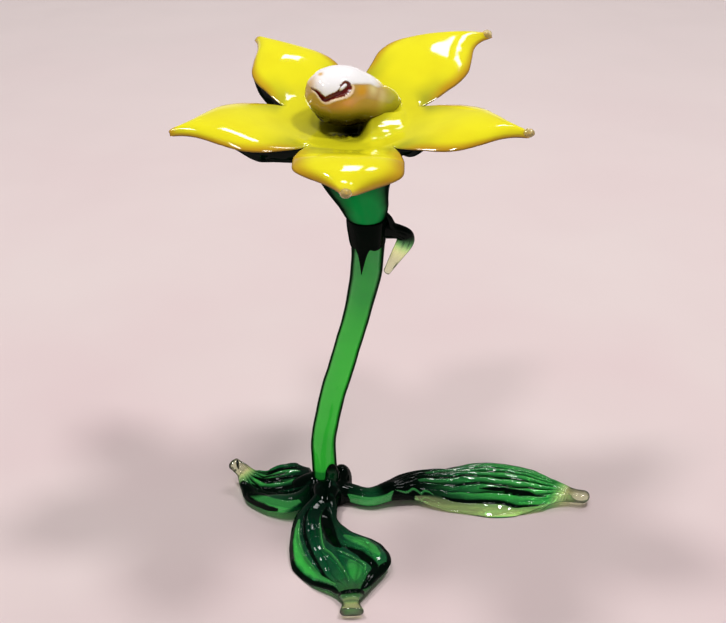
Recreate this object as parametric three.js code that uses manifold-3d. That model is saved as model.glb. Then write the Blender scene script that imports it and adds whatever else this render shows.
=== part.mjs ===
// Glass orchid that stands on its own three leaves.
//
// Units are millimetres, +Z is up. The origin is the centre of the small flat ground under the foot
// knot, so the table is the plane Z = 0. The bloom looks up and a little towards -Y.
//
// Each mesh is one gather of coloured glass. On the real piece they are fused hot, so every gather
// meets its neighbour face to face; here FUSE_GAP keeps the two faces just apart.

import * as THREE from "three";
import { mergeVertices } from "three/addons/utils/BufferGeometryUtils.js";
import Module from "manifold-3d";

const wasm = await Module();
wasm.setup();

// ---------------------------------------------------------------- driving dimensions

const FUSE_GAP = 0.3;

// Bloom: petals spread from a bowl whose rim is the ring where neighbouring petals part.
const BLOOM_CENTRE = new THREE.Vector3(13, -4, 181.5);
const BLOOM_TILT = THREE.MathUtils.degToRad(6); // the face turns this far towards -Y
const RING_RADIUS = 27;
const RING_HEIGHT = 6.5;
const PETAL_HALF_WIDTH = 20.5;
const OVERLAY_THICKNESS = 1.5; // the yellow glass
const BEAD_RADIUS = 2.3; // the clear bead on a petal's tip

// Stem and the joint under the bloom
const STEM_FOOT_Z = 4;
const COLLAR_BOTTOM_Z = 129;
const COLLAR_TOP_Z = 140.8;

// Foot
const KNOT_RADIUS = 13.5;
const KNOT_HEIGHT = 13;
const GROUND_CUT = 40; // depth of the block that grinds everything flat at Z = 0

// Leaves
const RIB_COUNT = 7;
const RIB_HEIGHT = 0.5;

// Facets
const PETAL_ACROSS = 8;
const PETAL_ALONG = 10;
const LEAF_ALONG = 20;
const ROUND_SIDES = 20;

// ---------------------------------------------------------------- curves and maths

const clamp = THREE.MathUtils.clamp;
const smoothstep = THREE.MathUtils.smoothstep;
const degrees = THREE.MathUtils.degToRad;
const vector = (x, y, z) => new THREE.Vector3(x, y, z);

// A smooth function through values[i] at places[i]: cubic, with each key's slope from its neighbours.
function keyed(places, values) {
  const last = places.length - 1;
  const slope = (i) => {
    const before = Math.max(i - 1, 0);
    const after = Math.min(i + 1, last);
    return (values[after] - values[before]) / (places[after] - places[before]);
  };
  return (place) => {
    const x = clamp(place, places[0], places[last]);
    let i = 0;
    while (i < last - 1 && x > places[i + 1]) i += 1;
    const span = places[i + 1] - places[i];
    const f = (x - places[i]) / span;
    const rise = f * f * (3 - 2 * f) * (values[i + 1] - values[i]);
    const bend = slope(i) * f * (1 - f) ** 2 - slope(i + 1) * f * f * (1 - f);
    return values[i] + rise + span * bend;
  };
}

// ---------------------------------------------------------------- closed bodies

// A geometry from a list of points and a list of triangles.
function bodyFrom(points, triangles) {
  const geometry = new THREE.BufferGeometry();
  const numbers = points.flatMap((p) => [p.x, p.y, p.z]);
  geometry.setAttribute("position", new THREE.Float32BufferAttribute(numbers, 3));
  geometry.setIndex(triangles.flat());
  return geometry;
}

// A closed body through a row of rings, each with the same even number of points, anticlockwise seen
// from the last ring. An end is closed by strips between the ring's two halves.
function loft(rings) {
  const sides = rings[0].length;
  const triangles = [];
  const quad = (a, b, c, d) => triangles.push([a, b, c], [a, c, d]);
  for (let i = 0; i < rings.length - 1; i += 1) {
    for (let k = 0; k < sides; k += 1) {
      const next = (k + 1) % sides;
      quad(i * sides + k, i * sides + next, (i + 1) * sides + next, (i + 1) * sides + k);
    }
  }
  const top = (rings.length - 1) * sides;
  for (let k = 0; k < sides / 2 - 1; k += 1) {
    const across = sides - 1 - k;
    quad(across, across - 1, k + 1, k);
    quad(top + k, top + k + 1, top + across - 1, top + across);
  }
  return bodyFrom(rings.flat(), triangles);
}

// A solid for cutting and joining, from a closed geometry, and back again
function solid(geometry) {
  const bare = new THREE.BufferGeometry();
  bare.setAttribute("position", geometry.getAttribute("position"));
  bare.setIndex(geometry.getIndex());
  const merged = mergeVertices(bare, 1e-4);
  return new wasm.Manifold(
    new wasm.Mesh({
      numProp: 3,
      vertProperties: merged.attributes.position.array,
      triVerts: new Uint32Array(merged.index.array),
    }),
  );
}

function geometryOf(manifold) {
  const mesh = manifold.getMesh();
  const geometry = new THREE.BufferGeometry();
  geometry.setAttribute("position", new THREE.BufferAttribute(mesh.vertProperties, 3));
  geometry.setIndex(new THREE.BufferAttribute(mesh.triVerts, 1));
  return geometry;
}

// What is left above the table: glass that dips below it is ground flat there.
const belowTable = solid(
  new THREE.BoxGeometry(400, 400, GROUND_CUT).translate(0, 0, -GROUND_CUT / 2),
);
const groundFlat = (manifold) => manifold.subtract(belowTable);

// ---------------------------------------------------------------- blades

// A blade is a strip of glass along a centreline. Every column of its table is keyed by `at`, the
// share of its length: the centreline x, y, z; right and left, its half-widths on either hand
// looking along it; thick, its thickness along the middle; edge, its thickness at the rim; roll, its
// turn about the centreline in degrees; and slopes, the section's rise in degrees at five places
// from the right rim to the left rim.
function bladeOf(table) {
  const column = (name) => keyed(table.at, table[name]);
  const [x, y, z] = ["x", "y", "z"].map(column);
  const [right, left, thick, edge, roll] = ["right", "left", "thick", "edge", "roll"].map(column);
  const slopes = table.slopes.map((values) => keyed(table.at, values));
  const centre = (u) => vector(x(u), y(u), z(u));
  const up = vector(...table.up);

  function frame(u) {
    const step = 0.01;
    const ahead = centre(Math.min(u + step, 1)).sub(centre(Math.max(u - step, 0))).normalize();
    const side = up.clone().cross(ahead).normalize();
    const out = ahead.clone().cross(side).normalize();
    const turn = degrees(roll(u));
    return {
      side: side.clone().multiplyScalar(Math.cos(turn)).addScaledVector(out, Math.sin(turn)),
      out: out.clone().multiplyScalar(Math.cos(turn)).addScaledVector(side, -Math.sin(turn)),
    };
  }

  // Where the section's middle line runs: sideways and outwards, at `count` + 1 even places.
  function section(u, count) {
    const slopeAt = keyed([-1, -0.5, 0, 0.5, 1], slopes.map((s) => degrees(s(u))));
    const steps = 8;
    const walk = (hand, reach) => {
      const line = [[0, 0]];
      let across = 0;
      let rise = 0;
      for (let n = 0; n < (count / 2) * steps; n += 1) {
        const t = (hand * (n + 0.5)) / ((count / 2) * steps);
        const length = (hand * reach) / ((count / 2) * steps);
        across += length * Math.cos(slopeAt(t));
        rise += length * Math.sin(slopeAt(t));
        if ((n + 1) % steps === 0) line.push([across, rise]);
      }
      return line;
    };
    const rightHalf = walk(-1, right(u)).slice(1).reverse();
    return [...rightHalf, ...walk(1, left(u))];
  }

  // The closed ring of the blade's skin at u. `ribs` raises that many ridges on the upper face, and
  // `grow` makes the whole section larger all round.
  function ring(u, ribs = 0, grow = 0) {
    const count = 2 * RIB_COUNT;
    const { side, out } = frame(u);
    const middle = centre(u);
    const fade = smoothstep(u, 0.18, 0.4) * (1 - smoothstep(u, 0.82, 0.95));
    const upper = [];
    const lower = [];
    section(u, count).forEach(([across, rise], j) => {
      const t = (2 * j) / count - 1;
      const half = (edge(u) + (thick(u) - edge(u)) * Math.sqrt(Math.max(0, 1 - t * t))) / 2 + grow;
      const ridge = -Math.cos(Math.PI * ribs * (1 + t)) * RIB_HEIGHT * fade;
      const rib = ribs && Math.abs(t) < 1 ? ridge : 0;
      const at = middle.clone().addScaledVector(side, across + grow * t).addScaledVector(out, rise);
      upper.push(at.clone().addScaledVector(out, half + rib));
      lower.push(at.clone().addScaledVector(out, -half));
    });
    return [...lower, ...upper.reverse()];
  }

  // The closed body between two places along the blade.
  function body(from, to, along, ribs = 0, grow = 0) {
    const rings = [];
    for (let i = 0; i <= along; i += 1) {
      rings.push(ring(from + ((to - from) * i) / along, ribs, grow));
    }
    return loft(rings);
  }

  const length = () => {
    let total = 0;
    for (let i = 0; i < 40; i += 1) total += centre(i / 40).distanceTo(centre((i + 1) / 40));
    return total;
  };
  return { centre, frame, ring, body, gap: FUSE_GAP / length() };
}

const RIGHT_LEAF = {
  up: [0, 0, 1],
  at: [0, 0.1, 0.2, 0.3, 0.45, 0.6, 0.75, 0.86, 0.93, 1],
  x: [8, 20, 31, 42, 58, 74, 90, 104, 112, 120],
  y: [-5, -9, -6, -1, 1, 2.5, 1.5, -2.5, -6.5, -9.5],
  z: [5, 4.2, 6.6, 8, 8, 7.6, 6.4, 4.2, 3.6, 4.2],
  right: [4.2, 4.2, 5, 8, 15, 23, 22, 13, 5, 3.6],
  left: [4.2, 4.2, 5.5, 9.5, 14, 20, 18, 8, 3.6, 3.4],
  thick: [8, 8, 7, 5, 4, 3.6, 3.6, 4.6, 5.2, 5],
  edge: [1.4, 1.4, 1.4, 1.2, 1.1, 1.1, 1.2, 1.6, 2, 2],
  roll: [0, 12, 16, 6, 0, 0, 0, -4, -8, -8],
  slopes: [
    [0, 0, 12, 14, 4, 2, 4, 6, 0, 0],
    [0, 0, 16, 34, 40, 36, 34, 20, 0, 0],
    [0, 0, 0, 0, 0, 0, 0, 0, 0, 0],
    [0, 0, -16, -30, -30, -24, -26, -16, 0, 0],
    [0, 0, -16, -26, -22, -24, -24, -12, 0, 0],
  ],
  tipAt: 0.9,
};

const FRONT_LEAF = {
  up: [0, 0, 1],
  at: [0, 0.12, 0.25, 0.4, 0.55, 0.7, 0.82, 0.9, 1],
  x: [1, 0, -1, 2, 6, 9, 11.5, 12.5, 13],
  y: [-8, -17, -27, -39, -51, -63, -73, -80, -88],
  z: [6, 5.2, 3.8, 3.2, 3, 2.8, 3.2, 3, 2.9],
  right: [5, 7.5, 13, 18, 20, 15, 7, 4, 5.6],
  left: [5, 6, 7.5, 12, 21, 21, 10, 3.6, 5.4],
  thick: [8, 7.5, 5.5, 4.4, 4, 4.2, 5.4, 5, 4.4],
  edge: [1.4, 1.4, 1.6, 1.8, 1.8, 1.8, 2, 2, 2],
  roll: [0, -6, -10, -4, 0, 2, 0, 0, 0],
  slopes: [
    [0, 20, 40, 34, 24, 20, 6, 0, 0],
    [0, -10, -4, 4, 6, 4, 0, 0, 0],
    [0, -6, -8, -6, -4, -2, 0, 0, 0],
    [0, 10, 16, 16, 14, 10, 4, 0, 0],
    [0, 0, -4, -6, -12, -10, 0, 0, 0],
  ],
  tipAt: 0.86,
};

const LEFT_LEAF = {
  up: [0, 0, 1],
  at: [0, 0.15, 0.35, 0.55, 0.72, 0.84, 0.92, 1],
  x: [-5, -12, -21, -29, -34.5, -37.5, -40.5, -43],
  y: [-1, -1.5, -1, 0.5, 3, 5, 7, 9],
  z: [6, 3.4, 2, 2.4, 5.2, 8.2, 9.8, 10.6],
  right: [5, 14, 13, 10, 6, 3.6, 3, 2.8],
  left: [5, 20, 21, 15, 7.5, 3.6, 3, 2.8],
  thick: [8, 6.5, 4.6, 4.2, 4.4, 4.8, 4.6, 4.4],
  edge: [1.4, 1.6, 1.8, 1.8, 1.8, 2, 2, 2],
  roll: [0, -2, -4, -6, -8, -6, -4, -4],
  slopes: [
    [0, -8, -16, -18, -10, 0, 0, 0],
    [0, -14, -26, -24, -14, 0, 0, 0],
    [0, -4, -4, -4, 0, 0, 0, 0],
    [0, 28, 38, 32, 14, 0, 0, 0],
    [0, -34, -62, -52, -14, 0, 0, 0],
  ],
  tipAt: 0.84,
};

// The little leaf folds over at the collar and hangs beside the stem.
const SIDE_LEAF = {
  up: [0, -1, 0],
  at: [0, 0.14, 0.28, 0.42, 0.56, 0.75, 1],
  x: [24.5, 28.5, 32.5, 35.4, 35.4, 32, 27.4],
  y: [0, -0.6, -1, -1, -1.2, -1.4, -1.4],
  z: [135.6, 135.6, 134.9, 133, 129.6, 122.5, 115.4],
  right: [4, 4, 3.6, 3.6, 4.2, 3.6, 1.8],
  left: [4, 3.4, 3, 3.3, 3.2, 1.6, 1],
  thick: [5, 4.6, 4.2, 3.6, 3, 2.6, 2.4],
  edge: [1.4, 1.4, 1.4, 1.4, 1.2, 1.2, 1.2],
  roll: [0, 0, 0, 0, 0, 0, 0],
  slopes: [
    [0, 10, 20, 20, 16, 12, 0],
    [0, 6, 12, 12, 10, 8, 0],
    [0, 0, 0, 0, 0, 0, 0],
    [0, -6, -12, -12, -10, -8, 0],
    [0, -10, -20, -20, -16, -12, 0],
  ],
  tipAt: 0.52,
};

// ---------------------------------------------------------------- rods, stem and collar

// A round body along path(w), a function of place, whose radius(w) also varies. Its rings are square
// to the path; `grow` makes it that much fatter.
function rod(path, radius, from, to, steps, options = {}) {
  const { sides = ROUND_SIDES, grow = 0, up = vector(0, 0, 1) } = options;
  const step = Math.abs(to - from) / 200;
  const rings = [];
  for (let i = 0; i <= steps; i += 1) {
    const w = from + ((to - from) * i) / steps;
    const ahead = path(w + step).sub(path(w - step)).normalize();
    const across = up.clone().cross(ahead).normalize();
    const back = ahead.clone().cross(across);
    const reach = radius(w) + grow;
    rings.push(
      Array.from({ length: sides }, (_, k) => {
        const angle = (2 * Math.PI * (k + 0.5)) / sides;
        return path(w)
          .addScaledVector(across, reach * Math.cos(angle))
          .addScaledVector(back, reach * Math.sin(angle));
      }),
    );
  }
  return loft(rings);
}

// A rod from a table: at, x, y, z and radius.
function rodOf(table, steps, options) {
  const [x, y, z, radius] = ["x", "y", "z", "radius"].map((name) => keyed(table.at, table[name]));
  return rod((w) => vector(x(w), y(w), z(w)), radius, table.at[0], table.at.at(-1), steps, options);
}

const axisX = keyed(
  [0, 12, 28, 41, 54, 66, 79, 91, 103, 114, 126, 134, 139, 141],
  [0, 0, -0.4, 1.5, 4.3, 7.7, 11.1, 14.2, 16.8, 18.7, 19.4, 19.1, 18.9, 18.9],
);
const axisY = keyed([0, 40, 90, 126, 134, 139, 141], [0, 1.5, 2.8, 1.8, 1, 0.6, 0.6]);
const axisRadius = keyed(
  [0, 40, 66, 91, 103, 114, 126, 140],
  [5.7, 5.6, 5.7, 5.8, 6.2, 6.8, 7.1, 8.4],
);
const axisBody = (from, to, steps, grow = 0) =>
  rod((z) => vector(axisX(z), axisY(z), z), axisRadius, from, to, steps, { grow, up: vector(0, 1, 0) });

// The collar's dark glass runs down the stem's front in one pointed tongue.
const TONGUE = { left: 14.4, right: 20.4, tip: 16.6, tipZ: 115.6, proud: 1 };
function tongue() {
  const outline = [
    [TONGUE.tip - 0.4, TONGUE.tipZ],
    [TONGUE.tip + 0.4, TONGUE.tipZ],
    [TONGUE.right, COLLAR_BOTTOM_Z + 1.5],
    [TONGUE.left, COLLAR_BOTTOM_Z + 1.5],
  ];
  const wedge = loft(
    [axisY(COLLAR_BOTTOM_Z), -20].map((y) => outline.map(([x, z]) => vector(x, y, z))),
  );
  const skin = solid(axisBody(TONGUE.tipZ - 2, COLLAR_BOTTOM_Z + 2, 8, TONGUE.proud));
  const core = solid(axisBody(TONGUE.tipZ - 3, COLLAR_BOTTOM_Z, 8, FUSE_GAP));
  return skin.intersect(solid(wedge)).subtract(core);
}

// ---------------------------------------------------------------- bloom

// Petals by azimuth, anticlockwise from +X, with how far each departs from the ordinary one: reach,
// share of the ordinary width, lift of its tip, sideways bend of its tip, curl, which raises its
// anticlockwise rim, and pinch, which draws that rim in near the ring.
const PETALS = [
  { name: "right", azimuth: -19.5, reach: 73.5, width: 0.95, lift: -1.4, bend: -2, bead: true },
  {
    name: "back_right", azimuth: 54, reach: 80, width: 1.04, lift: -0.6, bend: -13.5, bead: true,
    curl: 3.6, pinch: 0.2,
  },
  { name: "back_left", azimuth: 125.5, reach: 70.5, width: 0.92, lift: -2.5, bend: -0.5 },
  { name: "left", azimuth: 198.5, reach: 74.5, width: 1, lift: -1, bend: 2 },
  { name: "front", azimuth: 268.5, reach: 71, width: 1.03, lift: -0.6, bend: 0, bead: true, curl: -2.4 },
];

// Along a petal from the ring (0) to its tip (1)
const petalReach = keyed([0, 0.2, 0.4, 0.6, 0.8, 1], [0, 0.21, 0.42, 0.62, 0.81, 1]);
const petalRise = keyed([0, 0.2, 0.4, 0.6, 0.8, 1], [0, 3.2, 5.8, 7.5, 8.8, 9]);
const petalWidth = keyed(
  [0, 0.1, 0.2, 0.33, 0.5, 0.65, 0.8, 0.92, 1],
  [0.757, 0.81, 0.92, 1, 0.91, 0.64, 0.31, 0.13, 0.08],
);
const petalArch = keyed([0, 0.2, 0.45, 0.7, 1], [0, 1.6, 3.4, 3, 1]);
const petalCurl = keyed([0, 0.3, 0.65, 0.85, 1], [0, 0.45, 1, 0.85, 0]);
const petalPinch = keyed([0, 0.15, 0.35, 0.6, 1], [0.4, 1, 0.55, 0, 0]);
const backMiddle = keyed([0, 0.2, 0.4, 0.6, 1], [4.4, 4, 2.8, 1.8, 0.8]);
const backEdge = keyed([0, 0.1, 0.3, 1], [4.4, 2, 1, 0.8]);
const backThickness = (u, t) => backEdge(u) + (backMiddle(u) - backEdge(u)) * (1 - t * t);

const midAzimuth = (k) => {
  const here = PETALS[(k + 5) % 5].azimuth;
  const next = PETALS[(k + 6) % 5].azimuth;
  return here + ((next - here + 720) % 360) / 2;
};

// A point of petal k's middle sheet in the bloom's own frame; t runs from -1 to 1 anticlockwise.
function petalPoint(k, u, place) {
  const petal = PETALS[k];
  const t = place > 0 ? place * (1 - (petal.pinch ?? 0) * petalPinch(u)) : place;
  const spanBack = (petal.azimuth - midAzimuth(k - 1) + 720) % 360;
  const spanOn = (midAzimuth(k) - petal.azimuth + 720) % 360;
  const azimuth = degrees(petal.azimuth + (t < 0 ? spanBack : spanOn) * t);
  const radius = RING_RADIUS + (petal.reach - RING_RADIUS) * petalReach(u);
  const lift = petal.lift * u ** 3;
  const curl = (petal.curl ?? 0) * petalCurl(u) * ((1 + t) / 2) ** 2;
  const height = RING_HEIGHT + petalRise(u) + lift + curl + petalArch(u) * (0.35 - t * t);

  // Near the ring the petal follows the ring's circles; further out its rows are straight.
  const fanned = vector(Math.cos(azimuth), Math.sin(azimuth), 0).multiplyScalar(radius);
  const outward = degrees(petal.azimuth);
  const sideways = PETAL_HALF_WIDTH * petal.width * petalWidth(u) * t + petal.bend * u ** 3;
  const setback = 5 * (1 - u) * t * t;
  const straight = vector(
    (radius - setback) * Math.cos(outward) - sideways * Math.sin(outward),
    (radius - setback) * Math.sin(outward) + sideways * Math.cos(outward),
    0,
  );
  const flat = fanned.lerp(straight, smoothstep(u, 0, 0.3));
  flat.z = height - petalArch(u) * 0.35 * (1 - smoothstep(u, 0, 0.3));
  return flat;
}

// From the bloom's own frame to the part's. Below the bowl the calyx bends over to the stem.
const necking = [-46, -41.5, -35, -31, -25.5, -18, -10, -4];
const neckX = keyed(necking, [6.2, 5.8, 4.7, 3.4, 1.9, 0.9, 0.3, 0]);
const neckY = keyed(necking, [4.6, 4.6, 4.3, 3.8, 2.8, 1.5, 0.4, 0]);
function placeBloom(point) {
  const tilt = BLOOM_TILT * smoothstep(point.z, -38, -6);
  return vector(point.x + neckX(point.z), point.y, point.z)
    .applyAxisAngle(vector(1, 0, 0), tilt)
    .add(vector(0, neckY(point.z), 0))
    .add(BLOOM_CENTRE);
}

// A sheet-like body of the bloom. Its upper and lower faces are each a bowl, a profile of
// [radius, height] from the pole to the ring, that runs on into five petals, which lie `above` and
// `below` the petals' middle sheet.
function bloomBody(upperBowl, lowerBowl, above, below) {
  const around = 5 * PETAL_ACROSS;
  const points = [];
  const triangles = [];
  const add = (point) => points.push(placeBloom(point)) - 1;
  const ringAzimuth = (n) => {
    const k = Math.floor(n / PETAL_ACROSS) % 5;
    const t = (2 * (n % PETAL_ACROSS)) / PETAL_ACROSS - 1;
    const at = petalPoint(k, 0, t);
    return Math.atan2(at.y, at.x);
  };

  function face(bowl, offset) {
    const pole = add(vector(0, 0, bowl[0][1]));
    const rings = bowl.slice(1).map(([radius, height]) =>
      Array.from({ length: around }, (_, n) =>
        add(vector(radius * Math.cos(ringAzimuth(n)), radius * Math.sin(ringAzimuth(n)), height)),
      ),
    );
    const petals = PETALS.map((_, k) => {
      const places = Array.from({ length: PETAL_ACROSS + 1 }, (_, j) => j);
      const rows = [places.map((j) => rings.at(-1)[(k * PETAL_ACROSS + j) % around])];
      for (let i = 1; i <= PETAL_ALONG; i += 1) {
        const u = i / PETAL_ALONG;
        rows.push(
          places.map((j) => {
            const t = (2 * j) / PETAL_ACROSS - 1;
            const at = petalPoint(k, u, t);
            at.z += offset(u, t);
            return add(at);
          }),
        );
      }
      return rows;
    });
    return { pole, rings, petals };
  }

  // Two triangles on a patch of a face; the lower face is wound the other way.
  const patch = (a, b, c, d, flip) =>
    flip ? triangles.push([a, c, b], [a, d, c]) : triangles.push([a, b, c], [a, c, d]);
  function skin({ pole, rings, petals }, flip) {
    for (let n = 0; n < around; n += 1) {
      const next = (n + 1) % around;
      triangles.push(flip ? [pole, rings[0][next], rings[0][n]] : [pole, rings[0][n], rings[0][next]]);
      for (let i = 0; i < rings.length - 1; i += 1) {
        patch(rings[i][n], rings[i + 1][n], rings[i + 1][next], rings[i][next], flip);
      }
    }
    for (const rows of petals) {
      for (let i = 0; i < PETAL_ALONG; i += 1) {
        for (let j = 0; j < PETAL_ACROSS; j += 1) {
          patch(rows[i][j], rows[i + 1][j], rows[i + 1][j + 1], rows[i][j + 1], flip);
        }
      }
    }
  }

  const upper = face(upperBowl, above);
  const lower = face(lowerBowl, below);
  skin(upper, false);
  skin(lower, true);
  PETALS.forEach((_, k) => {
    const rim = (rows) => [
      ...rows.map((row) => row[0]),
      ...rows[PETAL_ALONG].slice(1, -1),
      ...rows.map((row) => row[PETAL_ACROSS]).reverse(),
    ];
    const over = rim(upper.petals[k]);
    const under = rim(lower.petals[k]);
    for (let i = 0; i < over.length - 1; i += 1) {
      patch(under[i], under[i + 1], over[i + 1], over[i], false);
    }
  });
  return bodyFrom(points, triangles);
}

// Bowl profiles, [radius, height] from the axis to the ring
const CONE_TIP = -38; // the yellow glass runs down inside the green funnel to here
const overlayTop = OVERLAY_THICKNESS - 0.4;
const THROAT_FLOOR = -2.6; // the throat is a shallow dish, closed by the yellow glass under it
const OVERLAY_INSIDE = [
  [0, THROAT_FLOOR],
  [5, THROAT_FLOOR + 0.4],
  [9.5, -0.9],
  [14, 1.4],
  [20, 4.4],
  [RING_RADIUS, RING_HEIGHT + overlayTop],
];
const OVERLAY_OUTSIDE = [
  [0, CONE_TIP],
  [5, CONE_TIP + 4],
  [7, -24],
  [9.8, -13],
  [13.2, -5.4],
  [19, 1],
  [RING_RADIUS, RING_HEIGHT - 0.4],
];
const CALYX_INSIDE = OVERLAY_OUTSIDE.map(([radius, height], i) => {
  if (i === 0) return [0, height - FUSE_GAP];
  return i < 4 ? [radius + FUSE_GAP, height - 0.2] : [radius + 0.15, height - FUSE_GAP];
});
CALYX_INSIDE[CALYX_INSIDE.length - 1] = [RING_RADIUS, RING_HEIGHT - 0.4 - FUSE_GAP];
const CALYX_BASE = COLLAR_TOP_Z + FUSE_GAP - BLOOM_CENTRE.z;
const CALYX_OUTSIDE = [
  [0, CALYX_BASE],
  [8.4, CALYX_BASE],
  [9.8, -36.5],
  [11.2, -32],
  [13.3, -26],
  [16.7, -17],
  [21, -7.5],
  [RING_RADIUS, RING_HEIGHT - 0.4 - FUSE_GAP - backThickness(0, 0)],
];

const overlayEdge = (u, t) => overlayTop - 0.25 * t * t * smoothstep(u, 0, 0.2) - 0.3 * u;
const corolla = bloomBody(OVERLAY_INSIDE, OVERLAY_OUTSIDE, overlayEdge, () => -0.4);
const calyx = bloomBody(
  CALYX_INSIDE,
  CALYX_OUTSIDE,
  () => -0.4 - FUSE_GAP,
  (u, t) => -0.4 - FUSE_GAP - backThickness(u, t),
);

// ---------------------------------------------------------------- lip

// The lip is a drop of glass that hangs over the throat: its tail lies on the bowl's back wall.
const LIP = {
  at: [0, 0.12, 0.3, 0.5, 0.7, 0.87, 0.96, 1],
  x: [32, 28.5, 21.6, 14.2, 7, 0.6, -2.6, -3.8],
  y: [10.5, 8.5, 4.5, 0, -4.5, -8.5, -10.4, -11.2],
  z: [188.8, 189.8, 191.9, 195.1, 197.7, 198.2, 197.4, 197],
  radius: [2, 4.8, 7.7, 10.4, 11.5, 9.4, 5.4, 2],
};
// Everything under the bowl's inner face, FUSE_GAP higher: the lip stops here.
const underBowl = new THREE.LatheGeometry(
  [[0, -60], [60, -60], [60, RING_HEIGHT + 12], ...OVERLAY_INSIDE.toReversed()].map(
    ([radius, height], i) => new THREE.Vector2(radius, height + (i > 1 ? FUSE_GAP : 0)),
  ),
  40,
).rotateX(Math.PI / 2);
for (let i = 0; i < underBowl.attributes.position.count; i += 1) {
  const point = new THREE.Vector3().fromBufferAttribute(underBowl.attributes.position, i);
  underBowl.attributes.position.setXYZ(i, ...placeBloom(point));
}

// The mouth: a dark stripe lies in a groove across the lip's front, and a pale roll lies under it.
const LIP_SLIT = {
  at: [0, 0.2, 0.42, 0.6, 0.8, 1],
  x: [-3, -0.8, 2.6, 5.6, 8.8, 11],
  y: [-10.2, -12.8, -15, -15.2, -14, -12],
  z: [203.2, 202, 200, 201.3, 202.8, 205],
  radius: [0.7, 1.1, 1.3, 1.4, 1.7, 1.4],
};
const LIP_ROLL = {
  at: [0, 0.2, 0.4, 0.6, 0.8, 1],
  x: [-3, -0.6, 2.8, 6.6, 11, 14.4],
  y: [-11.8, -14.3, -15.7, -15.7, -13.8, -10.4],
  z: [200.4, 198.8, 196.8, 197.8, 199.6, 202.6],
  radius: [0.6, 1.1, 1.4, 1.4, 1.2, 0.6],
};
const lipBody = (table, steps, grow = 0) => solid(rodOf(table, steps, { sides: 10, grow }));

// ---------------------------------------------------------------- foot knot

function ellipsoid(centre, radii, grow = 0, sides = 20) {
  return solid(
    new THREE.SphereGeometry(1, sides, sides / 2)
      .rotateX(Math.PI / 2)
      .scale(radii[0] + grow, radii[1] + grow, radii[2] + grow)
      .translate(...centre),
  );
}
function knotLump(grow = 0) {
  const dome = ellipsoid([1.5, -2, 0], [KNOT_RADIUS, KNOT_RADIUS - 1, KNOT_HEIGHT], grow);
  const shoulder = ellipsoid([7, 1.5, 6.5], [5.8, 6.5, 8.5], grow);
  return dome.add(shoulder);
}

// ---------------------------------------------------------------- assembly

const GLASS = {
  green: { color: 0x0f6b33, roughness: 0.05, metalness: 0 },
  darkGreen: { color: 0x06331d, roughness: 0.05, metalness: 0 },
  clear: { color: 0xdfe3c4, roughness: 0.04, metalness: 0 },
  yellow: { color: 0xf2df12, roughness: 0.08, metalness: 0 },
  lip: { color: 0xf3dcc4, roughness: 0.08, metalness: 0 },
  red: { color: 0x7c1210, roughness: 0.08, metalness: 0 },
  cream: { color: 0xf6e6c8, roughness: 0.08, metalness: 0 },
};

const orchid = new THREE.Group();
function piece(name, geometry, glass) {
  const mesh = new THREE.Mesh(geometry, new THREE.MeshStandardMaterial(glass));
  mesh.name = name;
  orchid.add(mesh);
}

const stemSocket = solid(axisBody(STEM_FOOT_Z - FUSE_GAP, 60, 12, FUSE_GAP));
const knot = groundFlat(knotLump().subtract(stemSocket));
const grownKnot = knotLump(FUSE_GAP).add(stemSocket);
piece("foot_knot", geometryOf(knot), GLASS.darkGreen);

for (const [hand, table] of Object.entries({ right: RIGHT_LEAF, front: FRONT_LEAF, left: LEFT_LEAF })) {
  const blade = bladeOf(table);
  const leaf = solid(blade.body(0, table.tipAt, LEAF_ALONG, RIB_COUNT)).subtract(grownKnot);
  const tip = solid(blade.body(table.tipAt + blade.gap, 1, 4));
  piece(`leaf_${hand}`, geometryOf(groundFlat(leaf)), GLASS.green);
  piece(`leaf_tip_${hand}`, geometryOf(groundFlat(tip)), GLASS.clear);
}

const sideLeaf = bladeOf(SIDE_LEAF);
const stalk = solid(axisBody(COLLAR_BOTTOM_Z - 20, COLLAR_TOP_Z, 12, FUSE_GAP));
const sideRoot = solid(sideLeaf.body(0, SIDE_LEAF.tipAt, 10)).subtract(stalk);
const sideTip = solid(sideLeaf.body(SIDE_LEAF.tipAt + sideLeaf.gap, 1, 8)).subtract(stalk);
piece("side_leaf", geometryOf(sideRoot), GLASS.green);
piece("side_leaf_tip", geometryOf(sideTip), GLASS.clear);

const stem = solid(axisBody(STEM_FOOT_Z, COLLAR_BOTTOM_Z - FUSE_GAP, 18));
const collar = solid(axisBody(COLLAR_BOTTOM_Z, COLLAR_TOP_Z, 4)).add(tongue());
piece("stem", geometryOf(stem), GLASS.green);
piece("collar", geometryOf(collar), GLASS.darkGreen);

// Three petals end in a bead of clear glass.
const bead = (k, grow = 0) => {
  const at = placeBloom(petalPoint(k, 0.985, 0));
  return ellipsoid([at.x, at.y, at.z], [BEAD_RADIUS, BEAD_RADIUS, BEAD_RADIUS * 0.8], grow, 12);
};
let backs = solid(calyx);
let faces = solid(corolla);
PETALS.forEach((petal, k) => {
  if (!petal.bead) return;
  backs = backs.subtract(bead(k, FUSE_GAP));
  faces = faces.subtract(bead(k, FUSE_GAP));
  piece(`petal_bead_${petal.name}`, geometryOf(bead(k)), GLASS.clear);
});
piece("calyx", geometryOf(backs), GLASS.darkGreen);
piece("corolla", geometryOf(faces), GLASS.yellow);
const lip = solid(rodOf(LIP, 16))
  .subtract(solid(underBowl))
  .subtract(lipBody(LIP_SLIT, 14, FUSE_GAP))
  .subtract(lipBody(LIP_ROLL, 12, FUSE_GAP));
piece("lip", geometryOf(lip), GLASS.lip);
piece("lip_slit", geometryOf(lipBody(LIP_SLIT, 14)), GLASS.red);
piece("lip_roll", geometryOf(lipBody(LIP_ROLL, 12)), GLASS.cream);

export default orchid;
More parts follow.
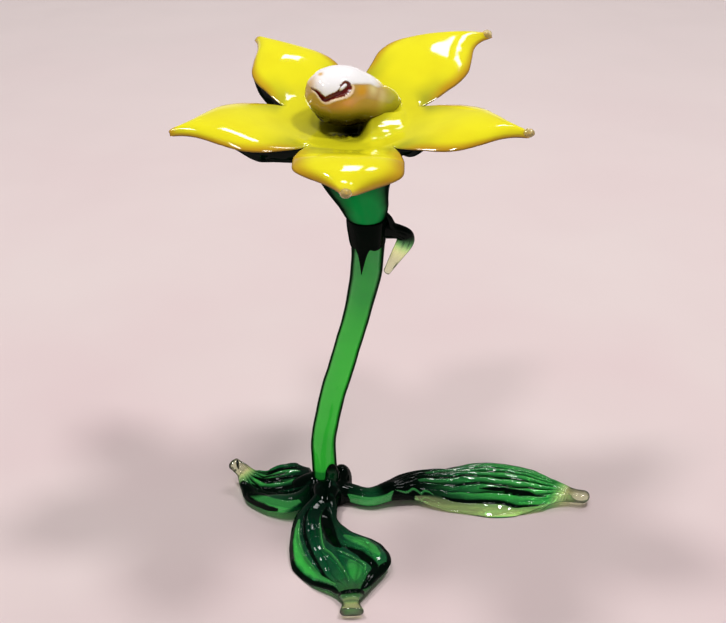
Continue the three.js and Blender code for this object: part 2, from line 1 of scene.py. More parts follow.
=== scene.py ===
"""Glass orchid figurine: the finished surface of every gather of glass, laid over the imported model.

Shapes are worked out in millimetres in the model's own frame (origin on the table under the foot
knot, +Z up, the bloom's front towards -Y) and written to meshes in metres.
"""

from __future__ import annotations

import logging
import math
from abc import ABC, abstractmethod
from dataclasses import dataclass, field
from enum import Enum
from typing import Callable, Sequence

import bpy
import numpy as np
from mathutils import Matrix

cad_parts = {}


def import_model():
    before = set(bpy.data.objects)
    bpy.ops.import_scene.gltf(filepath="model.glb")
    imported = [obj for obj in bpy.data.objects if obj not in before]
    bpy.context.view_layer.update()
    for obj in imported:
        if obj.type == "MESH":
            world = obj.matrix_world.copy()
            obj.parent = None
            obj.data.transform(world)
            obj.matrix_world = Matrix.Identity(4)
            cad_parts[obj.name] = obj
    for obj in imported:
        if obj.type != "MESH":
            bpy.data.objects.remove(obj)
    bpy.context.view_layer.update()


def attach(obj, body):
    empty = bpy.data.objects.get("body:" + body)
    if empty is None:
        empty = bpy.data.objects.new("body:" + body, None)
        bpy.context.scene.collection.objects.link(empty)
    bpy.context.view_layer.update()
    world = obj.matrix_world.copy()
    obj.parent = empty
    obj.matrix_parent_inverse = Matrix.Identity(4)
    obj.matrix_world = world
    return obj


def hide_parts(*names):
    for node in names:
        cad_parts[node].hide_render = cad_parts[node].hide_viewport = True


log = logging.getLogger("orchid")

Array = np.ndarray
Triple = tuple[float, float, float]
Colour = Triple
Span = tuple[float, float]
Row = tuple[float, ...]
Traits = dict[str, Array]
Tree = bpy.types.NodeTree
Material = bpy.types.Material

MM = 0.001
ROOT = "root"
FULL_TURN = 2 * math.pi
UP = (0.0, 0.0, 1.0)
LOWEST = 0.02  # mm over the table: glass is ground flat here
BLACK = (0.0, 0.0, 0.0)
FINE = 3.0  # octaves of the noise in mottled glass


# ---- curves


class Curve:
    """A smooth function through keys: cubic pieces whose slope at a key comes from its neighbours."""

    def __init__(self, places: Sequence[float], values: Sequence[float]) -> None:
        """Store the keys.

        Args:
            places: Increasing places of the keys.
            values: The value at each key.
        """
        self.places = np.asarray(places, float)
        self.values = np.asarray(values, float)
        last = len(self.places) - 1
        before = np.maximum(np.arange(last + 1) - 1, 0)
        after = np.minimum(np.arange(last + 1) + 1, last)
        rise = self.values[after] - self.values[before]
        self.slopes = rise / (self.places[after] - self.places[before])

    def __call__(self, place: Array | float) -> Array:
        """Evaluate the curve, holding its end values outside the keys.

        Args:
            place: Where to evaluate, of any shape.

        Returns:
            Values of the same shape.
        """
        x = np.clip(np.asarray(place, float), self.places[0], self.places[-1])
        i = np.clip(np.searchsorted(self.places, x, side="right") - 1, 0, len(self.places) - 2)
        span = self.places[i + 1] - self.places[i]
        f = (x - self.places[i]) / span
        climb = f * f * (3 - 2 * f) * (self.values[i + 1] - self.values[i])
        bend = self.slopes[i] * f * (1 - f) ** 2 - self.slopes[i + 1] * f * f * (1 - f)
        return self.values[i] + climb + span * bend


@dataclass(frozen=True)
class Ramp:
    """An ease from 0 at low to 1 at high, as 3f^2 - 2f^3 of the share f between them."""

    low: float
    high: float

    def __call__(self, value: Array | float) -> Array:
        """The eased share at each value."""
        f = np.clip((np.asarray(value, float) - self.low) / (self.high - self.low), 0, 1)
        return f * f * (3 - 2 * f)

    def falling(self, value: Array | float) -> Array:
        """1 up to low, eased down to 0 at high."""
        return 1 - self(value)


def unit(vectors: Array) -> Array:
    """Scale vectors along the last axis to length 1."""
    return vectors / np.maximum(np.linalg.norm(vectors, axis=-1, keepdims=True), 1e-12)


def hump(value: Array, middle: float, half: float) -> Array:
    """A soft hump: exp(-((value - middle) / half)^2)."""
    return np.exp(-(((value - middle) / half) ** 2))


def ripple(points: Array, wavelength: float, seed: int) -> Array:
    """A soft, seeded unevenness in space: the mean of five plane sine waves in fixed directions.

    Args:
        points: Places (..., 3) in mm.
        wavelength: Length of the longest wave in mm.
        seed: Chooses the directions and phases.

    Returns:
        Values of roughly -1 to 1.
    """
    shares = np.array([1.0, 1.3, 1.7, 2.1, 2.6])
    gain = 1.4
    rng = np.random.default_rng(seed)
    ways = unit(rng.normal(size=(len(shares), 3)))
    phases = rng.uniform(0, FULL_TURN, len(shares))
    lengths = wavelength / shares
    waves = np.sin(points @ ways.T * (FULL_TURN / lengths) + phases)
    return waves.mean(axis=-1) * gain


def turn(count: int) -> Array:
    """Angles of count even steps round a full turn, from 0."""
    return np.linspace(0, FULL_TURN, count, endpoint=False)


def grid(rows: Array, columns: Array) -> tuple[Array, Array]:
    """Two parameters of a surface on a grid, the first by rows and the second by columns."""
    return tuple(np.meshgrid(rows, columns, indexing="ij"))


def smooth_line(keys: Sequence[Sequence[float]], count: int) -> tuple[Array, Array]:
    """The smooth line through keys that are evenly spaced in its parameter.

    Args:
        keys: Points of any dimension.
        count: How many points the line gets.

    Returns:
        The points (count, dimension) and the share of the line at each.
    """
    columns = np.asarray(keys, float).T
    at = np.linspace(0, 1, columns.shape[1])
    share = np.linspace(0, 1, count)
    return np.stack([Curve(at, column)(share) for column in columns], -1), share


def sweep_frames(centres: Array, up: Sequence[float]) -> tuple[Array, Array]:
    """Square directions along a path: side = up x ahead, out = ahead x side.

    Args:
        centres: Points (rows, 3) along the path.
        up: The direction that `out` leans to.

    Returns:
        Side and out, each (rows, 3).
    """
    ahead = unit(np.gradient(centres, axis=0))
    side = unit(np.cross(np.asarray(up, float), ahead))
    return side, np.cross(ahead, side)


def circles(centres: Array, up: Sequence[float], count: int) -> Array:
    """Unit circles square to a path: cos(a) * side + sin(a) * out.

    Args:
        centres: Points (rows, 3) along the path.
        up: A direction that isn't along the path.
        count: Points in a circle.

    Returns:
        Directions (rows, count, 3).
    """
    side, out = sweep_frames(centres, up)
    angle = turn(count)
    return np.cos(angle)[None, :, None] * side[:, None] + np.sin(angle)[None, :, None] * out[:, None]


def ball(rows: int, columns: int, cap: float) -> Array:
    """A unit ball (rows, columns, 3) of circles, open by the angle cap at its poles."""
    b, a = grid(np.linspace(cap, math.pi - cap, rows), turn(columns))
    return np.stack([np.cos(a) * np.sin(b), np.sin(a) * np.sin(b), np.cos(b)], -1)


# ---- meshes


@dataclass
class Skin:
    """A triangle mesh in mm with one number per point for each named trait."""

    points: Array
    triangles: Array
    traits: Traits = field(default_factory=dict)

    def closed(self) -> "Skin":
        """Weld points that coincide, drop collapsed triangles and turn the faces outwards.

        Returns:
            The welded skin.
        """
        keys = np.round(self.points, 4)
        _, first, back = np.unique(keys, axis=0, return_index=True, return_inverse=True)
        faces = back.reshape(-1)[self.triangles]
        a, b, c = faces.T
        faces = faces[(a != b) & (b != c) & (c != a)]
        points = self.points[first]
        p, q, r = points[faces[:, 0]], points[faces[:, 1]], points[faces[:, 2]]
        if np.einsum("ij,ij->i", p, np.cross(q, r)).sum() < 0:
            faces = faces[:, ::-1]
        return Skin(points, faces, {name: trait[first] for name, trait in self.traits.items()})

    def object(self, name: str) -> bpy.types.Object:
        """Make the Blender object, with its place in its mesh.

        Args:
            name: Name of the object and the mesh.

        Returns:
            The linked object, smooth shaded, with the traits as point attributes.
        """
        mesh = bpy.data.meshes.new(name)
        count = len(self.triangles)
        mesh.vertices.add(len(self.points))
        mesh.vertices.foreach_set("co", (self.points * MM).astype(np.float32).ravel())
        mesh.loops.add(3 * count)
        mesh.loops.foreach_set("vertex_index", self.triangles.astype(np.int32).ravel())
        mesh.polygons.add(count)
        mesh.polygons.foreach_set("loop_start", np.arange(0, 3 * count, 3, dtype=np.int32))
        mesh.polygons.foreach_set("use_smooth", np.ones(count, bool))
        mesh.update(calc_edges=True)
        mesh.validate()
        for trait, values in self.traits.items():
            layer = mesh.attributes.new(trait, "FLOAT", "POINT")
            layer.data.foreach_set("value", np.clip(values, 0, 1).astype(np.float32))
        made = bpy.data.objects.new(name, mesh)
        bpy.context.scene.collection.objects.link(made)
        return made


def grid_triangles(rows: int, columns: int, wraps: bool) -> Array:
    """Two triangles for each cell of a grid of points numbered row by row.

    Args:
        rows: Rows of points.
        columns: Points in a row.
        wraps: Whether the last column joins the first.

    Returns:
        Triangles (n, 3) of point numbers.
    """
    i, j = grid(np.arange(rows - 1), np.arange(columns if wraps else columns - 1))
    here, over = i * columns + j, i * columns + (j + 1) % columns
    up, across = here + columns, over + columns
    halves = [np.stack([here, over, across], -1), np.stack([here, across, up], -1)]
    return np.concatenate([half.reshape(-1, 3) for half in halves])


def tube_skin(rings: Array, traits: Traits) -> Skin:
    """A closed skin through rings of points, each end drawn in to a pole at its ring's middle.

    Args:
        rings: Points (rows, columns, 3).
        traits: Numbers (rows, columns) for each trait.

    Returns:
        The closed skin.
    """
    rows, columns, _ = rings.shape
    around = np.arange(columns)
    following = (around + 1) % columns
    low, high = rows * columns, rows * columns + 1
    base = (rows - 1) * columns
    caps = [
        np.stack([np.full(columns, low), following, around], -1),
        np.stack([np.full(columns, high), base + around, base + following], -1),
    ]
    points = np.concatenate([rings.reshape(-1, 3), rings[[0, -1]].mean(axis=1)])
    ends = {name: np.concatenate([t.reshape(-1), t[[0, -1]].mean(axis=1)]) for name, t in traits.items()}
    return Skin(points, np.concatenate([grid_triangles(rows, columns, True), *caps]), ends).closed()


def join(skins: Sequence[Skin]) -> Skin:
    """Put several skins into one mesh without welding them.

    Args:
        skins: Skins with the same traits.

    Returns:
        One skin.
    """
    starts = np.cumsum([0] + [len(s.points) for s in skins[:-1]])
    return Skin(
        np.concatenate([s.points for s in skins]),
        np.concatenate([s.triangles + start for s, start in zip(skins, starts)]),
        {name: np.concatenate([s.traits[name] for s in skins]) for name in skins[0].traits},
    )


# ---- shader maths


class Wire:
    """A node socket whose operators add Math nodes."""

    def __init__(self, tree: Tree, socket: bpy.types.NodeSocket | None) -> None:
        """Wrap a socket of a node tree."""
        self.tree = tree
        self.socket = socket

    def _math(self, operation: str, first: "Wire | float", second: "Wire | float") -> "Wire":
        """Add a Math node with an operation and two values and hand back its result."""
        return add_node(self.tree, "ShaderNodeMath", {"operation": operation}, {0: first, 1: second})

    def __add__(self, other: "Wire | float") -> "Wire":
        """Sum."""
        return self._math("ADD", self, other)

    __radd__ = __add__

    def __mul__(self, other: "Wire | float") -> "Wire":
        """Product."""
        return self._math("MULTIPLY", self, other)

    __rmul__ = __mul__

    def __sub__(self, other: "Wire | float") -> "Wire":
        """Difference."""
        return self._math("SUBTRACT", self, other)

    def __rsub__(self, other: "Wire | float") -> "Wire":
        """Difference from a number."""
        return self._math("SUBTRACT", other, self)

    def clamped(self) -> "Wire":
        """Hold the value between 0 and 1."""
        return self._math("MAXIMUM", self._math("MINIMUM", self, 1.0), 0.0)

    def rising(self, start: float, gain: float) -> "Wire":
        """Rise from 0 at start by gain per unit, up to 1."""
        return ((self - start) * gain).clamped()


def add_node(
    tree: Tree,
    kind: str,
    settings: dict[str, object] | None = None,
    inputs: dict[int | str, object] | None = None,
    output: int | str | None = 0,
) -> Wire:
    """Add a node, set it up, then fill its sockets.

    Args:
        tree: The node tree.
        kind: The node's type.
        settings: Its settings; a ramp's `stops` are (place, colour) pairs.
        inputs: Socket name or number to a value or a wire.
        output: The socket that is handed back, or None for a node without one.

    Returns:
        The chosen output as a wire.
    """
    node = tree.nodes.new(kind)
    for name, value in (settings or {}).items():
        if name != "stops":
            setattr(node, name, value)
            continue
        ramp = node.color_ramp
        while len(ramp.elements) < len(value):
            ramp.elements.new(1.0)
        for element, (place, shade) in zip(ramp.elements, value):
            element.position = place
            element.color = (*shade, 1.0)
    for name, value in (inputs or {}).items():
        socket = node.inputs[name]
        if isinstance(value, Wire):
            tree.links.new(value.socket, socket)
        elif socket.type == "RGBA" and len(value) == 3:
            socket.default_value = (*value, 1.0)
        else:
            socket.default_value = value
    return Wire(tree, None if output is None else node.outputs[output])


def mix_colour(tree: Tree, share: Wire, first: Wire | Colour, second: Wire | Colour) -> Wire:
    """Blend two colours; share 0 gives the first and 1 the second."""
    inputs = {"Factor": share, 6: first, 7: second}
    return add_node(tree, "ShaderNodeMix", {"data_type": "RGBA"}, inputs, output=2)


def mix_shader(tree: Tree, share: Wire | float, first: Wire, second: Wire) -> Wire:
    """Blend two shaders; share 0 gives the first and 1 the second."""
    return add_node(tree, "ShaderNodeMixShader", {}, {0: share, 1: first, 2: second})


def principled(tree: Tree, colour: Wire | Colour, roughness: float, **others: object) -> Wire:
    """Add a Principled shader.

    Args:
        tree: The node tree.
        colour: Its base colour.
        roughness: Its roughness.
        others: Its other sockets' values or wires, with an underscore for each space in a name.

    Returns:
        The shader.
    """
    inputs = {"Base Color": colour, "Roughness": roughness, "IOR": 1.5}
    inputs.update({name.replace("_", " "): value for name, value in others.items()})
    return add_node(tree, "ShaderNodeBsdfPrincipled", {}, inputs)


def matt(tree: Tree, colour: Colour) -> Wire:
    """A half-rough shader without any sheen, for the painted dark outlines."""
    return principled(tree, colour, 0.5, Specular_IOR_Level=0.0)


def colour_ramp(tree: Tree, place: Wire, stops: Sequence[tuple[float, Colour]]) -> Wire:
    """Colours by place: a ramp through (place, colour) stops."""
    return add_node(tree, "ShaderNodeValToRGB", {"stops": stops}, {"Fac": place}, "Color")


def trait(tree: Tree, name: str) -> Wire:
    """Read one of the piece's point attributes."""
    return add_node(tree, "ShaderNodeAttribute", {"attribute_name": name}, output="Fac")


def patchy(tree: Tree, name: str, wander: Wire, least: float = 0.7, spread: float = 0.6) -> Wire:
    """A trait that comes out uneven: trait * (least + wander * spread), held between 0 and 1."""
    return (trait(tree, name) * (least + wander * spread)).clamped()


def facing(tree: Tree) -> Wire:
    """0 where the glass is seen straight on, 1 along its outline."""
    return add_node(tree, "ShaderNodeLayerWeight", {}, {"Blend": 0.5}, "Facing")


def noise(tree: Tree, scale: float, detail: float = 2.0) -> Wire:
    """Noise around 0.5 on object coordinates, of scale waves per metre and detail octaves."""
    place = add_node(tree, "ShaderNodeTexCoord", output="Object")
    return add_node(tree, "ShaderNodeTexNoise", {}, {"Vector": place, "Scale": scale, "Detail": detail})


def bump(tree: Tree, height: Wire, distance: float) -> Wire:
    """The normal bumped by a height, which is a share of the distance in metres."""
    inputs = {"Strength": 1.0, "Distance": distance, "Height": height}
    return add_node(tree, "ShaderNodeBump", {}, inputs, "Normal")


# ---- finishes


class Slot(Enum):
    """The record's material slots."""

    GREEN = "green_glass"
    DARK = "dark_green_glass"
    CLEAR = "clear_glass"
    YELLOW = "yellow_glass"
    LIP = "lip_glass"


class Finish(ABC):
    """A finish, which each kind builds from its own numbers.

    A span among them is where a share starts to rise from 0 and its gain per unit, depths of a wave
    are in metres, and scales in waves per metre.
    """

    wave_scale: float
    wave_depth: float

    def waves(self, tree: Tree) -> Wire:
        """The normal of the soft waves in the surface."""
        return bump(tree, noise(tree, self.wave_scale), self.wave_depth)

    @abstractmethod
    def surface(self, tree: Tree) -> Wire:
        """Build the finish's shader.

        Args:
            tree: An empty node tree.

        Returns:
            The shader's output.
        """

    def material(self, name: str) -> Material:
        """Make the material.

        Args:
            name: Its name.

        Returns:
            The material.
        """
        material = bpy.data.materials.new(name)
        material.use_nodes = True
        tree = material.node_tree
        tree.nodes.clear()
        add_node(tree, "ShaderNodeOutputMaterial", {}, {"Surface": self.surface(tree)}, output=None)
        return material


@dataclass(frozen=True)
class ClearGreenGlass(Finish):
    """See-through green glass, near-black where the `dark` trait marks it and along its painted outlines.

    Traits: `bright` is painted light, lightening the tint, `clear` washes it out to lemon and then to
    colourless glass, and `dark` turns it to near-black: partly dark glass, partly painted shade along
    rims and in valleys. The glows are painted glow, an emission standing in for light passing through
    the glass, at the strength gathered; through and bare_through are the shares of light that tinted
    and washed glass let pass. The outline is painted shade, drawn where the surface turns away; bare
    glass has it later and fainter.
    """

    tint: Colour = (0.012, 0.18, 0.075)
    # bright is the lighter green of painted light; deep the near-black of dark glass and painted shade
    bright: Colour = (0.11, 0.62, 0.10)
    deep: Colour = (0.0004, 0.004, 0.002)
    lemon: Colour = (0.72, 0.80, 0.36)
    colourless: Colour = (0.87, 0.92, 0.64)
    # Painted glow: emission colours standing in for light passing through the glass
    glow: Colour = (0.001, 0.040, 0.018)
    glow_bright: Colour = (0.028, 0.22, 0.050)
    glow_lemon: Colour = (0.32, 0.31, 0.15)
    roughness: float = 0.03
    bare_roughness: float = 0.02
    deep_roughness: float = 0.04
    # gathered is the strength of the painted glow
    gathered: float = 0.6
    through: float = 0.86
    bare_through: float = 0.92
    sheen: float = 0.5
    deep_sheen: float = 0.09
    # A painted near-black outline, as shade where the surface turns away
    outline: float = 0.97
    outlined: Span = (0.5, 2.8)
    bare_later: float = 0.16
    bare_fainter: float = 0.12
    washed: Span = (0.0, 1.6)
    colour_gone: Span = (0.5, 2.0)
    glow_gone: Span = (0.375, 2.4)
    darkened: float = 1.08
    light_mottle: float = 0.5
    dark_mottle: float = 0.3
    wave_scale: float = 90.0
    wave_depth: float = 0.0003

    def surface(self, tree: Tree) -> Wire:
        """Mix tinted and washed glass by `clear`, near-black by `dark` and the painted matt outline."""
        wander = noise(tree, self.wave_scale, FINE)
        normal = bump(tree, wander, self.wave_depth)
        # Painted light: the bright trait lightens the tint and its glow
        light = (trait(tree, "bright") + (wander - 0.5) * self.light_mottle).clamped()
        bare, dark = trait(tree, "clear"), trait(tree, "dark")
        lemon_glow = mix_colour(tree, bare.rising(*self.glow_gone), self.glow_lemon, BLACK)
        green = principled(
            tree, mix_colour(tree, light, self.tint, self.bright), self.roughness,
            Specular_IOR_Level=self.sheen, Transmission_Weight=self.through, Normal=normal,
            Emission_Color=mix_colour(tree, light, self.glow, self.glow_bright),
            Emission_Strength=self.gathered,
        )
        pale = mix_colour(tree, bare.rising(*self.colour_gone), self.lemon, self.colourless)
        clear = principled(
            tree, pale, self.bare_roughness, Transmission_Weight=self.bare_through, Normal=normal,
            Emission_Color=lemon_glow, Emission_Strength=self.gathered,
        )
        deep = principled(
            tree, self.deep, self.deep_roughness, Specular_IOR_Level=self.deep_sheen, Normal=normal
        )
        # Painted shade: a matt near-black outline where the surface turns away
        line = matt(tree, self.deep)
        glass = mix_shader(tree, bare.rising(*self.washed), green, clear)
        # Near-black by the dark trait: partly dark glass, partly painted shade
        thick = (dark * self.darkened + (wander - 0.5) * self.dark_mottle * dark).clamped()
        edge = (facing(tree) + bare * self.bare_later).rising(*self.outlined) * self.outline
        edge = (edge * (1.0 - bare * self.bare_fainter)).clamped()
        return mix_shader(tree, edge, mix_shader(tree, thick, glass, deep), line)


@dataclass(frozen=True)
class ClearGlass(Finish):
    """Nearly colourless glass for drawn-off ends, a share of it clouded with amber."""

    tint: Colour = (0.99, 0.95, 0.78)
    cloud: Colour = (0.84, 0.69, 0.26)
    clouded: float = 0.4
    roughness: float = 0.02
    cloud_roughness: float = 0.05
    wave_scale: float = 160.0
    wave_depth: float = 0.0002

    def surface(self, tree: Tree) -> Wire:
        """Mix clear and clouded glass all over by the same share."""
        normal = self.waves(tree)
        clear = principled(tree, self.tint, self.roughness, Transmission_Weight=1.0, Normal=normal)
        return mix_shader(tree, self.clouded, clear, principled(tree, self.cloud, self.cloud_roughness))


@dataclass(frozen=True)
class CasedGreen(Finish):
    """Green glass over an opaque core: near-black on the petals' backs, partly as painted shade under
    the petals, and mid green down the funnel, painted darker up towards the petals.

    Trait: `funnel` runs from 0 on the petals to 1 at the neck. stops are its colours' places.
    """

    # back is the petals' dark green backs, darkened to near-black as painted shade
    back: Colour = (0.0006, 0.004, 0.002)
    middle: Colour = (0.002, 0.15, 0.034)
    neck: Colour = (0.008, 0.36, 0.070)
    stops: Triple = (0.3, 0.62, 1.0)
    roughness: float = 0.05
    sheen: float = 0.05
    outline: float = 0.98
    outlined: Span = (0.40, 3.4)
    mottle: float = 0.18
    mottle_scale: float = 60.0
    wave_scale: float = 120.0
    wave_depth: float = 0.0002

    def surface(self, tree: Tree) -> Wire:
        """Colour by `funnel`, with a painted matt near-black outline."""
        wander = noise(tree, self.mottle_scale, FINE)
        depth = (trait(tree, "funnel") + (wander - 0.5) * self.mottle).clamped()
        shades = [(0.0, self.back), *zip(self.stops, (self.back, self.middle, self.neck))]
        normal = self.waves(tree)
        body = principled(
            tree, colour_ramp(tree, depth, shades), self.roughness, Specular_IOR_Level=self.sheen,
            Normal=normal,
        )
        # Painted shade: a matt near-black outline where the surface turns away
        line = matt(tree, self.back)
        return mix_shader(tree, facing(tree).rising(*self.outlined) * self.outline, body, line)


@dataclass(frozen=True)
class OpaqueYellow(Finish):
    """Opaque yellow glass that thins to amber at its rims, with painted olive shade in its dish and
    between its petals and a painted near-black throat.

    Traits: `rim` is 1 along the edge, `warm` shades towards it, `throat` is painted near-black shade
    at the bottom of the dish, under the lip, and the valley trait is painted olive shade in the dish
    and in the shallow valleys between neighbouring petals.
    """

    body: Colour = (0.80, 0.735, 0.014)
    warm: Colour = (0.67, 0.53, 0.009)
    amber: Colour = (0.50, 0.27, 0.010)
    rim: Colour = (0.20, 0.11, 0.012)
    # olive is painted shade in the dish and valleys; throat the painted near-black shade under the lip
    olive: Colour = (0.30, 0.31, 0.018)
    throat: Colour = (0.004, 0.004, 0.001)
    roughness: float = 0.07
    throat_gloss: float = 0.12
    mottled: Span = (0.45, 1.3)
    mottle_scale: float = 45.0
    wave_scale: float = 60.0
    wave_depth: float = 0.0003

    def surface(self, tree: Tree) -> Wire:
        """Lay the shades over the body colour one by one, then mix in the painted near-black shade of the
        throat.
        """
        wander = noise(tree, self.mottle_scale, FINE)
        colour = mix_colour(tree, wander.rising(*self.mottled), self.body, self.warm)
        # The first shade is painted olive shade in the dish and the valleys between petals
        shades = (("vein", 0.5, 0.5, self.olive), ("warm", 0.6, 0.8, self.amber), ("rim", 0.5, 0.8, self.rim))
        for name, least, spread, shade in shades:
            colour = mix_colour(tree, patchy(tree, name, wander, least, spread), colour, shade)
        normal = self.waves(tree)
        glass = principled(tree, colour, self.roughness, Normal=normal)
        # Painted shade: near-black at the bottom of the dish, under the lip
        deep = principled(tree, self.throat, self.throat_gloss, Specular_IOR_Level=self.throat_gloss)
        return mix_shader(tree, patchy(tree, "throat", wander), glass, deep)


@dataclass(frozen=True)
class LipGlass(Finish):
    """Opaque white glass folded over tan and orange glass, with painted olive-to-dark shade under it and a
    dark red mouth.

    Traits: `crown` is 1 on the white fold, its white partly a painted reflection of the light above,
    `peach` tints its left end, `pink`, `orange`, `amber` and `pale` are spots on the body, `shade` is
    painted shade on the underside, `tail` the yellow end, `roll` the cream edge round the mouth, `slit`
    the mouth and `glint` a painted white highlight on the white core inside its end.
    """

    white: Colour = (0.90, 0.885, 0.90)
    peach: Colour = (0.70, 0.45, 0.20)
    tan: Colour = (0.52, 0.33, 0.085)
    pink: Colour = (0.56, 0.27, 0.11)
    orange: Colour = (0.86, 0.40, 0.10)
    amber: Colour = (0.72, 0.36, 0.025)
    pale: Colour = (0.95, 0.86, 0.42)
    tail: Colour = (0.50, 0.47, 0.030)
    # olive and dark are the painted shade of the underside
    olive: Colour = (0.19, 0.145, 0.012)
    dark: Colour = (0.035, 0.026, 0.004)
    cream: Colour = (0.92, 0.72, 0.52)
    red: Colour = (0.15, 0.006, 0.004)
    roughness: float = 0.07
    underside: Span = (0.5, 2.0)
    shade_gain: float = 2.0
    shade_mottle: float = 0.5
    mottle_scale: float = 150.0
    wave_scale: float = 140.0
    wave_depth: float = 0.0001

    def surface(self, tree: Tree) -> Wire:
        """Lay the spots, the tail and the painted shade of the underside over tan, then the fold and the
        mouth.
        """
        wander = noise(tree, self.mottle_scale, FINE)
        colour: Wire | Colour = self.tan
        for name, spot in (("pink", self.pink), ("orange", self.orange), ("amber", self.amber)):
            colour = mix_colour(tree, patchy(tree, name, wander), colour, spot)
        colour = mix_colour(tree, trait(tree, "tail"), colour, self.tail)
        # Painted shade: olive to dark over the underside
        shade = trait(tree, "shade")
        shadow = mix_colour(tree, shade.rising(*self.underside), self.olive, self.dark)
        cover = (shade * self.shade_gain + (wander - 0.5) * self.shade_mottle * shade).clamped()
        colour = mix_colour(tree, cover, colour, shadow)
        colour = mix_colour(tree, patchy(tree, "pale", wander), colour, self.pale)
        white = mix_colour(tree, patchy(tree, "peach", wander), self.white, self.peach)
        # The white fold is partly a painted reflection; the glint is a painted highlight
        mouth = (("crown", white), ("roll", self.cream), ("slit", self.red), ("glint", self.white))
        for name, layer in mouth:
            colour = mix_colour(tree, trait(tree, name), colour, layer)
        return principled(tree, colour, self.roughness, Normal=self.waves(tree))


@dataclass(frozen=True)
class Paper(Finish):
    """Pale matt paper for the floor, faintly pink in soft patches, with painted light: paler and glowing in
    the distance.

    The spans are measured from the glass in metres: paler is where the colour changes to far and a
    faint painted glow (haze) sets in, and lit where the stronger painted glow does.
    """

    colour: Colour = (0.85, 0.72, 0.715)
    pink: Colour = (0.82, 0.645, 0.66)
    # far, haze and glow are painted light: paler paper and its own glow in the distance
    far: Colour = (0.98, 0.86, 0.855)
    haze: Colour = (0.15, 0.13, 0.128)
    glow: Colour = (0.58, 0.50, 0.485)
    roughness: float = 0.85
    sheen: float = 0.2
    patched: Span = (0.35, 2.2)
    paler: Span = (0.15, 1.4)
    lit: Span = (0.8, 0.8)
    patch_scale: float = 7.0
    wave_scale: float = 12.0
    wave_depth: float = 0.004

    def surface(self, tree: Tree) -> Wire:
        """Colour by patches and by distance from the glass, with painted light that grows with distance."""
        place = add_node(tree, "ShaderNodeTexCoord", output="Object")
        reach = add_node(tree, "ShaderNodeVectorMath", {"operation": "LENGTH"}, {0: place}, "Value")
        patches = noise(tree, self.patch_scale).rising(*self.patched)
        near = mix_colour(tree, patches, self.colour, self.pink)
        # Painted light: paler and glowing further from the glass
        away = reach.rising(*self.paler)
        haze = mix_colour(tree, away, BLACK, self.haze)
        return principled(
            tree, mix_colour(tree, away, near, self.far), self.roughness, Specular_IOR_Level=self.sheen,
            Emission_Color=mix_colour(tree, reach.rising(*self.lit), haze, self.glow), Emission_Strength=1.0,
            Normal=self.waves(tree),
        )


# ---- stem and collar


def settle(skin: Skin, name: str, material: Material, nodes: Sequence[str]) -> None:
    """Make a piece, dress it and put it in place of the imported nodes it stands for.

    Args:
        skin: Its surface.
        name: Its name.
        material: Its finish.
        nodes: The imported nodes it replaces.
    """
    made = skin.object(name)
    made.data.materials.append(material)
    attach(made, ROOT)
    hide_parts(*nodes)
    log.info("%s: %d triangles, for %s", name, len(made.data.polygons), ", ".join(nodes))


@dataclass(frozen=True)
class Axis:
    """The bowed line of stem, collar and neck, keyed by height in mm."""

    x: Curve = Curve(
        [0, 12, 28, 41, 54, 66, 79, 91, 103, 114, 126, 134, 139, 141],
        [0, 0, -0.4, 1.5, 4.3, 7.7, 11.1, 14.2, 16.8, 18.7, 19.4, 19.1, 18.9, 18.9],
    )
    y: Curve = Curve([0, 40, 90, 126, 134, 139, 141], [0, 1.5, 2.8, 1.8, 1, 0.6, 0.6])
    radius: Curve = Curve([0, 40, 66, 91, 103, 114, 126, 140], [5.7, 5.6, 5.7, 5.8, 6.2, 6.8, 7.1, 8.4])
    top: float = 141.0
    step: float = 0.5

    def centre(self, z: Array) -> Array:
        """Points (..., 3) of the line at heights z."""
        return np.stack([self.x(z), self.y(z), np.asarray(z, float)], -1)

    def around(self, z: Array, angle: Array, radius: Array) -> Array:
        """Points about the line: its centre at z plus radius times the angle's direction, square to it.

        Args:
            z: Heights, of any shape.
            angle: Angles from +X, anticlockwise seen from above.
            radius: Distances from the line.

        Returns:
            Points (..., 3).
        """
        after, before = np.minimum(z + self.step, self.top), np.maximum(z - self.step, 0)
        ahead = unit(self.centre(after) - self.centre(before))
        across = unit(np.cross(np.array([0.0, 1.0, 0.0]), ahead))
        back = np.cross(ahead, across)
        cos, sin = (np.cos(angle) * radius)[..., None], (np.sin(angle) * radius)[..., None]
        return self.centre(z) + cos * across + sin * back


@dataclass
class Stem:
    """The bowed rod, drawn out hot, uneven by up to 0.12 mm.

    The ramps are heights in mm: its dark foot ends over `foot_ends`, and its tint, lit lighter low
    down as painted light, loses the share `loss` of that light over `dims` as painted shade higher up.
    """

    axis: Axis = Axis()
    foot: float = 3.0
    top: float = 133.0
    uneven: float = 0.12
    wave: float = 26.0
    foot_ends: Ramp = Ramp(6, 13)
    dims: Ramp = Ramp(70, 125)
    light: float = 0.85
    loss: float = 0.65
    rows: int = 260
    columns: int = 72

    def skin(self) -> Skin:
        """Circles of the axis's radius along it, with the unevenness added.

        Returns:
            The closed skin.
        """
        z, angle = grid(np.linspace(self.foot, self.top, self.rows), turn(self.columns))
        radius = self.axis.radius(z)
        rings = self.axis.around(z, angle, radius)
        rings = self.axis.around(z, angle, radius + self.uneven * ripple(rings, self.wave, seed=3))
        # Painted light and shade: lighter low down, darker higher up
        bright = self.light - self.loss * self.dims(z)
        return tube_skin(rings, {"dark": self.foot_ends.falling(z), "bright": bright, "clear": 0 * z})

    def build(self, glass: Material) -> None:
        """Make the stem."""
        settle(self.skin(), "stem_rod", glass, ["stem"])


